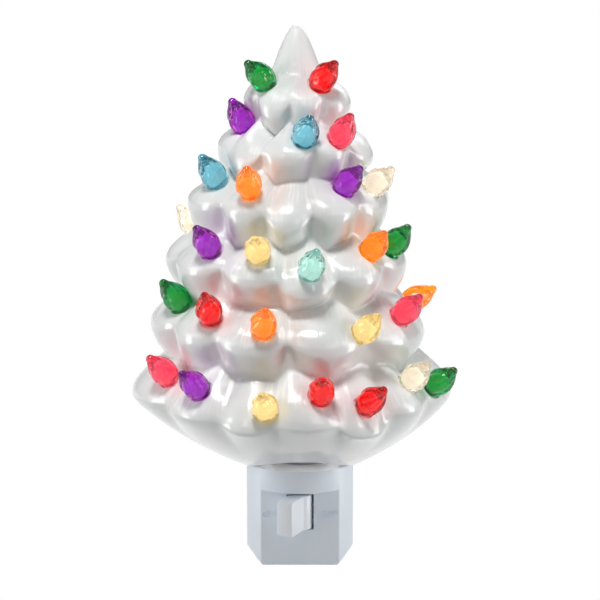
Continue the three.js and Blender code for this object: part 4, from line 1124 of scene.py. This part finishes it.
# %% Lamp materials
lamp_glass, tree, shader = new_material("lamp glass")
place = node(tree, "TexCoord").outputs["Object"]
drawn = node(tree, "TexNoise", (place, "Vector"), Scale=70.0, Detail=1.0)
bump = node(tree, "Bump", (drawn.outputs["Fac"], "Height"), Strength=0.15, Distance=0.0008)
tree.links.new(bump.outputs["Normal"], shader.inputs["Normal"])
haze = node(tree, "TexNoise", (place, "Vector"), Scale=300.0, Detail=3.0)
film = node(tree, "MapRange", (haze.outputs["Fac"], "Value"), To_Min=0.0, To_Max=0.06)
tree.links.new(film.outputs["Result"], shader.inputs["Roughness"])
shader.inputs["Base Color"].default_value = (0.97, 0.98, 0.98, 1)
shader.inputs["Transmission Weight"].default_value = 1.0
shader.inputs["IOR"].default_value = 1.46

insulator_glass, tree, shader = new_material("insulator glass")
place = node(tree, "TexCoord").outputs["Object"]
swirl = node(tree, "TexNoise", (place, "Vector"), Scale=400.0, Detail=3.0)
two_tones(tree, shader, swirl.outputs["Fac"], linear(24, 25, 32), linear(46, 44, 52))
shader.inputs["Roughness"].default_value = 0.18
shader.inputs["Coat Weight"].default_value = 0.5

tungsten = metal("tungsten", linear(120, 120, 126), linear(84, 84, 92))
tree = tungsten.node_tree
shader = tree.nodes["Principled BSDF"]
shader.inputs["Emission Color"].default_value = linear(255, 196, 120)
shader.inputs["Emission Strength"].default_value = 3.0
print("all materials:", len(bpy.data.materials))

# %% [markdown]
# The glass and the cap are thin sheets, open at the foot: rings run up the outside and back down the
# inside, and the last ring joins the first. The cap's thread is wound, so its rings aren't round: each
# point's radius depends on its turn and its height together.

# %% Lamp glass and cap
def lamp_sheet(name, part, outer, inner, look):
    """A thin lamp part from the rings of its outside and its inside, joined at both rims."""
    rings = np.concatenate([outer, inner])
    piece = piece_from(name, on_axis(rings).reshape(-1, 3), wrapped_faces(*rings.shape[:2], True).tolist())
    dressed(piece, part, look)
    piece.data.shade_smooth()
    return piece


lamp_sheet("blown_lamp_glass", "lamp_glass", turned_rings(outer_profile, 72),
           turned_rings(inner_profile, 72), lamp_glass)


def thread_rings(radius, depth, low, high, pitch, rows, sides):
    """Rings of a wound thread: r = radius - depth * f * (1 + cos(a - 2 pi z / pitch)) / 2, with a the turn
    about the axis and f a fade to a plain rim over the last millimetre at each end."""
    turn = np.linspace(0, 2 * np.pi, sides, endpoint=False)
    z = np.linspace(low, high, rows)[:, None]
    fade = np.clip(np.minimum(z - low, high - z), 0, 1)
    r = radius - depth * fade * (1 + np.cos(turn - 2 * np.pi * z / pitch)) / 2 - depth * (1 - fade) * 0.5
    return np.stack([r * np.cos(turn), r * np.sin(turn), z + 0 * turn], -1)


def cap_side(radius, margin):
    """The rings of one side of the cap, a margin inside its drawn height."""
    return thread_rings(radius, thread_depth, cap_bottom + margin, cap_top - margin, thread_pitch, 90, 96)


cap_outer_radius, cap_inner_radius, thread_depth, thread_pitch = 5.88, 5.42, 0.42, 2.4
cap = lamp_sheet("threaded_lamp_cap", "lamp_cap", cap_side(cap_outer_radius, 0.02),
                 cap_side(cap_inner_radius, 0.04)[::-1], cap_nickel)
smooth(cap, 60)
print("cap faces:", len(cap.data.polygons))

# %% [markdown]
# The insulator, the tip and the glass stem are solid, so each is one skin between two poles. Their
# profiles go through a few drawn points of (radius, height) on a smooth curve, kept inside the drawing.

# %% Insulator, tip and stem
insulator_profile = smooth_profile([(0.3, 28.32), (2.2, 28.34), (3.2, 28.55), (4.3, 29.1), (4.72, 29.5),
                                    (4.74, 30.05), (4.3, 30.09), (0.4, 30.09)], 40)
insulator_profile[:, 1] = np.clip(insulator_profile[:, 1], 28.31, 30.09)
insulator_profile[:, 0] = np.clip(insulator_profile[:, 0], 0.2, 4.74)
lamp_piece("pressed_lamp_insulator", "lamp_insulator", turned_rings(insulator_profile, 64),
           28.31, 30.09, insulator_glass)

tip_profile = smooth_profile([(0.2, 26.92), (0.9, 26.96), (1.6, 27.12), (2.1, 27.45), (2.18, 27.7),
                              (2.0, 27.82), (2.18, 27.95), (0.3, 27.99)], 36)
tip_profile[:, 1] = np.clip(tip_profile[:, 1], 26.91, 27.99)
tip_profile[:, 0] = np.clip(tip_profile[:, 0], 0.15, 2.19)
lamp_piece("soldered_lamp_tip", "lamp_tip_contact", turned_rings(tip_profile, 48),
           26.91, 27.99, cap_nickel)

stem_profile = smooth_profile([(0.3, 38.02), (3.4, 38.05), (3.7, 38.5), (3.2, 39.6), (2.2, 41.0),
                               (1.6, 42.6), (1.25, 46.0), (1.5, 49.5), (1.55, 51.0), (0.9, 51.45),
                               (0.2, 51.48)], 60)
lamp_piece("pressed_lamp_stem", "lamp_stem", turned_rings(stem_profile, 48),
           38.01, 51.49, lamp_glass)
print("rings down the stem:", len(stem_profile))

# %% [markdown]
# The two leads rise from the stem and carry the filament between their ends. The filament is a fine
# coil on a wavy path. A coil is only a circle in Y and Z that moves along X, so it is three formulas.

# %% Leads and filament
def wire_piece(name, part, path, radius, sides, look):
    """A round wire carried along a path. Each ring stands across the path's direction, on two axes
    made from it and the fixed front direction, which the path is never along."""
    path = np.array(path, float)
    along = np.gradient(path, axis=0)
    along /= np.linalg.norm(along, axis=1, keepdims=True)
    first = np.cross(along, (0.05, 1.0, 0.03))
    first /= np.linalg.norm(first, axis=1, keepdims=True)
    second = np.cross(along, first)
    turn = np.linspace(0, 2 * np.pi, sides, endpoint=False)[None, :, None]
    rings = path[:, None] + radius * (np.cos(turn) * first[:, None] + np.sin(turn) * second[:, None])
    lamp_piece(name, part, rings, path[0], path[-1], look)


filament_level, filament_half, filament_rise, wire_radius = 58.5, 4.2, 1.2, 0.07
coil_turns, coil_radius, sway_width = 26, 0.3, 0.32
lead_radius = 0.24
for side, name in ((-1, "left"), (1, "right")):
    bends = smooth_profile([(0.88, 51.8), (1.2, 53.5), (2.6, 55.2), (4.05, 56.2), (4.2, 57.9)], 40)
    path = np.column_stack([side * bends[:, 0], 0 * bends[:, 0], bends[:, 1]])
    wire_piece(f"bent_lamp_lead_{name}", f"lamp_lead_{name}", path, lead_radius, 16,
               spring_steel)
s = np.linspace(0, 1, 900)
winding = 2 * np.pi * coil_turns * s
sway = sway_width * np.cos(3 * np.pi * s) * np.sin(np.pi * s)
rise = filament_level + filament_rise * np.sin(np.pi * s)
coil = np.column_stack([filament_half * (2 * s - 1), coil_radius * np.cos(winding) + sway,
                        rise + coil_radius * np.sin(winding)])
wire_piece("coiled_lamp_filament", "lamp_filament", coil, wire_radius, 6, tungsten)
print("points along the filament:", len(coil))

# %% [markdown]
# The floor lies far below the plug, so the light hangs in the air as on a shop's picture. It is plain
# pale for the light that falls on it, and pure white for the camera, for mirrors and through glass.

# %% Floor
floor_material, tree, shader = new_material("pale floor")
shader.inputs["Base Color"].default_value = (0.8, 0.8, 0.8, 1)
rays = node(tree, "LightPath").outputs
seen = larger(tree, larger(tree, rays["Is Camera Ray"], rays["Is Glossy Ray"]), rays["Is Transmission Ray"])
white = node(tree, "Emission")
shown = tree.nodes.new("ShaderNodeMixShader")
tree.links.new(seen, shown.inputs[0])
tree.links.new(shader.outputs[0], shown.inputs[1])
tree.links.new(white.outputs[0], shown.inputs[2])
tree.links.new(shown.outputs[0], tree.nodes["Material Output"].inputs["Surface"])
floor_reach, floor_level = 6000, -400
corners = [(x * floor_reach, y * floor_reach, floor_level) for x, y in ((-1, -1), (1, -1), (1, 1), (-1, 1))]
floor = piece_from("floor", corners, [(0, 1, 2, 3)])
floor.data.materials.append(floor_material)
print("floor faces:", len(floor.data.polygons))
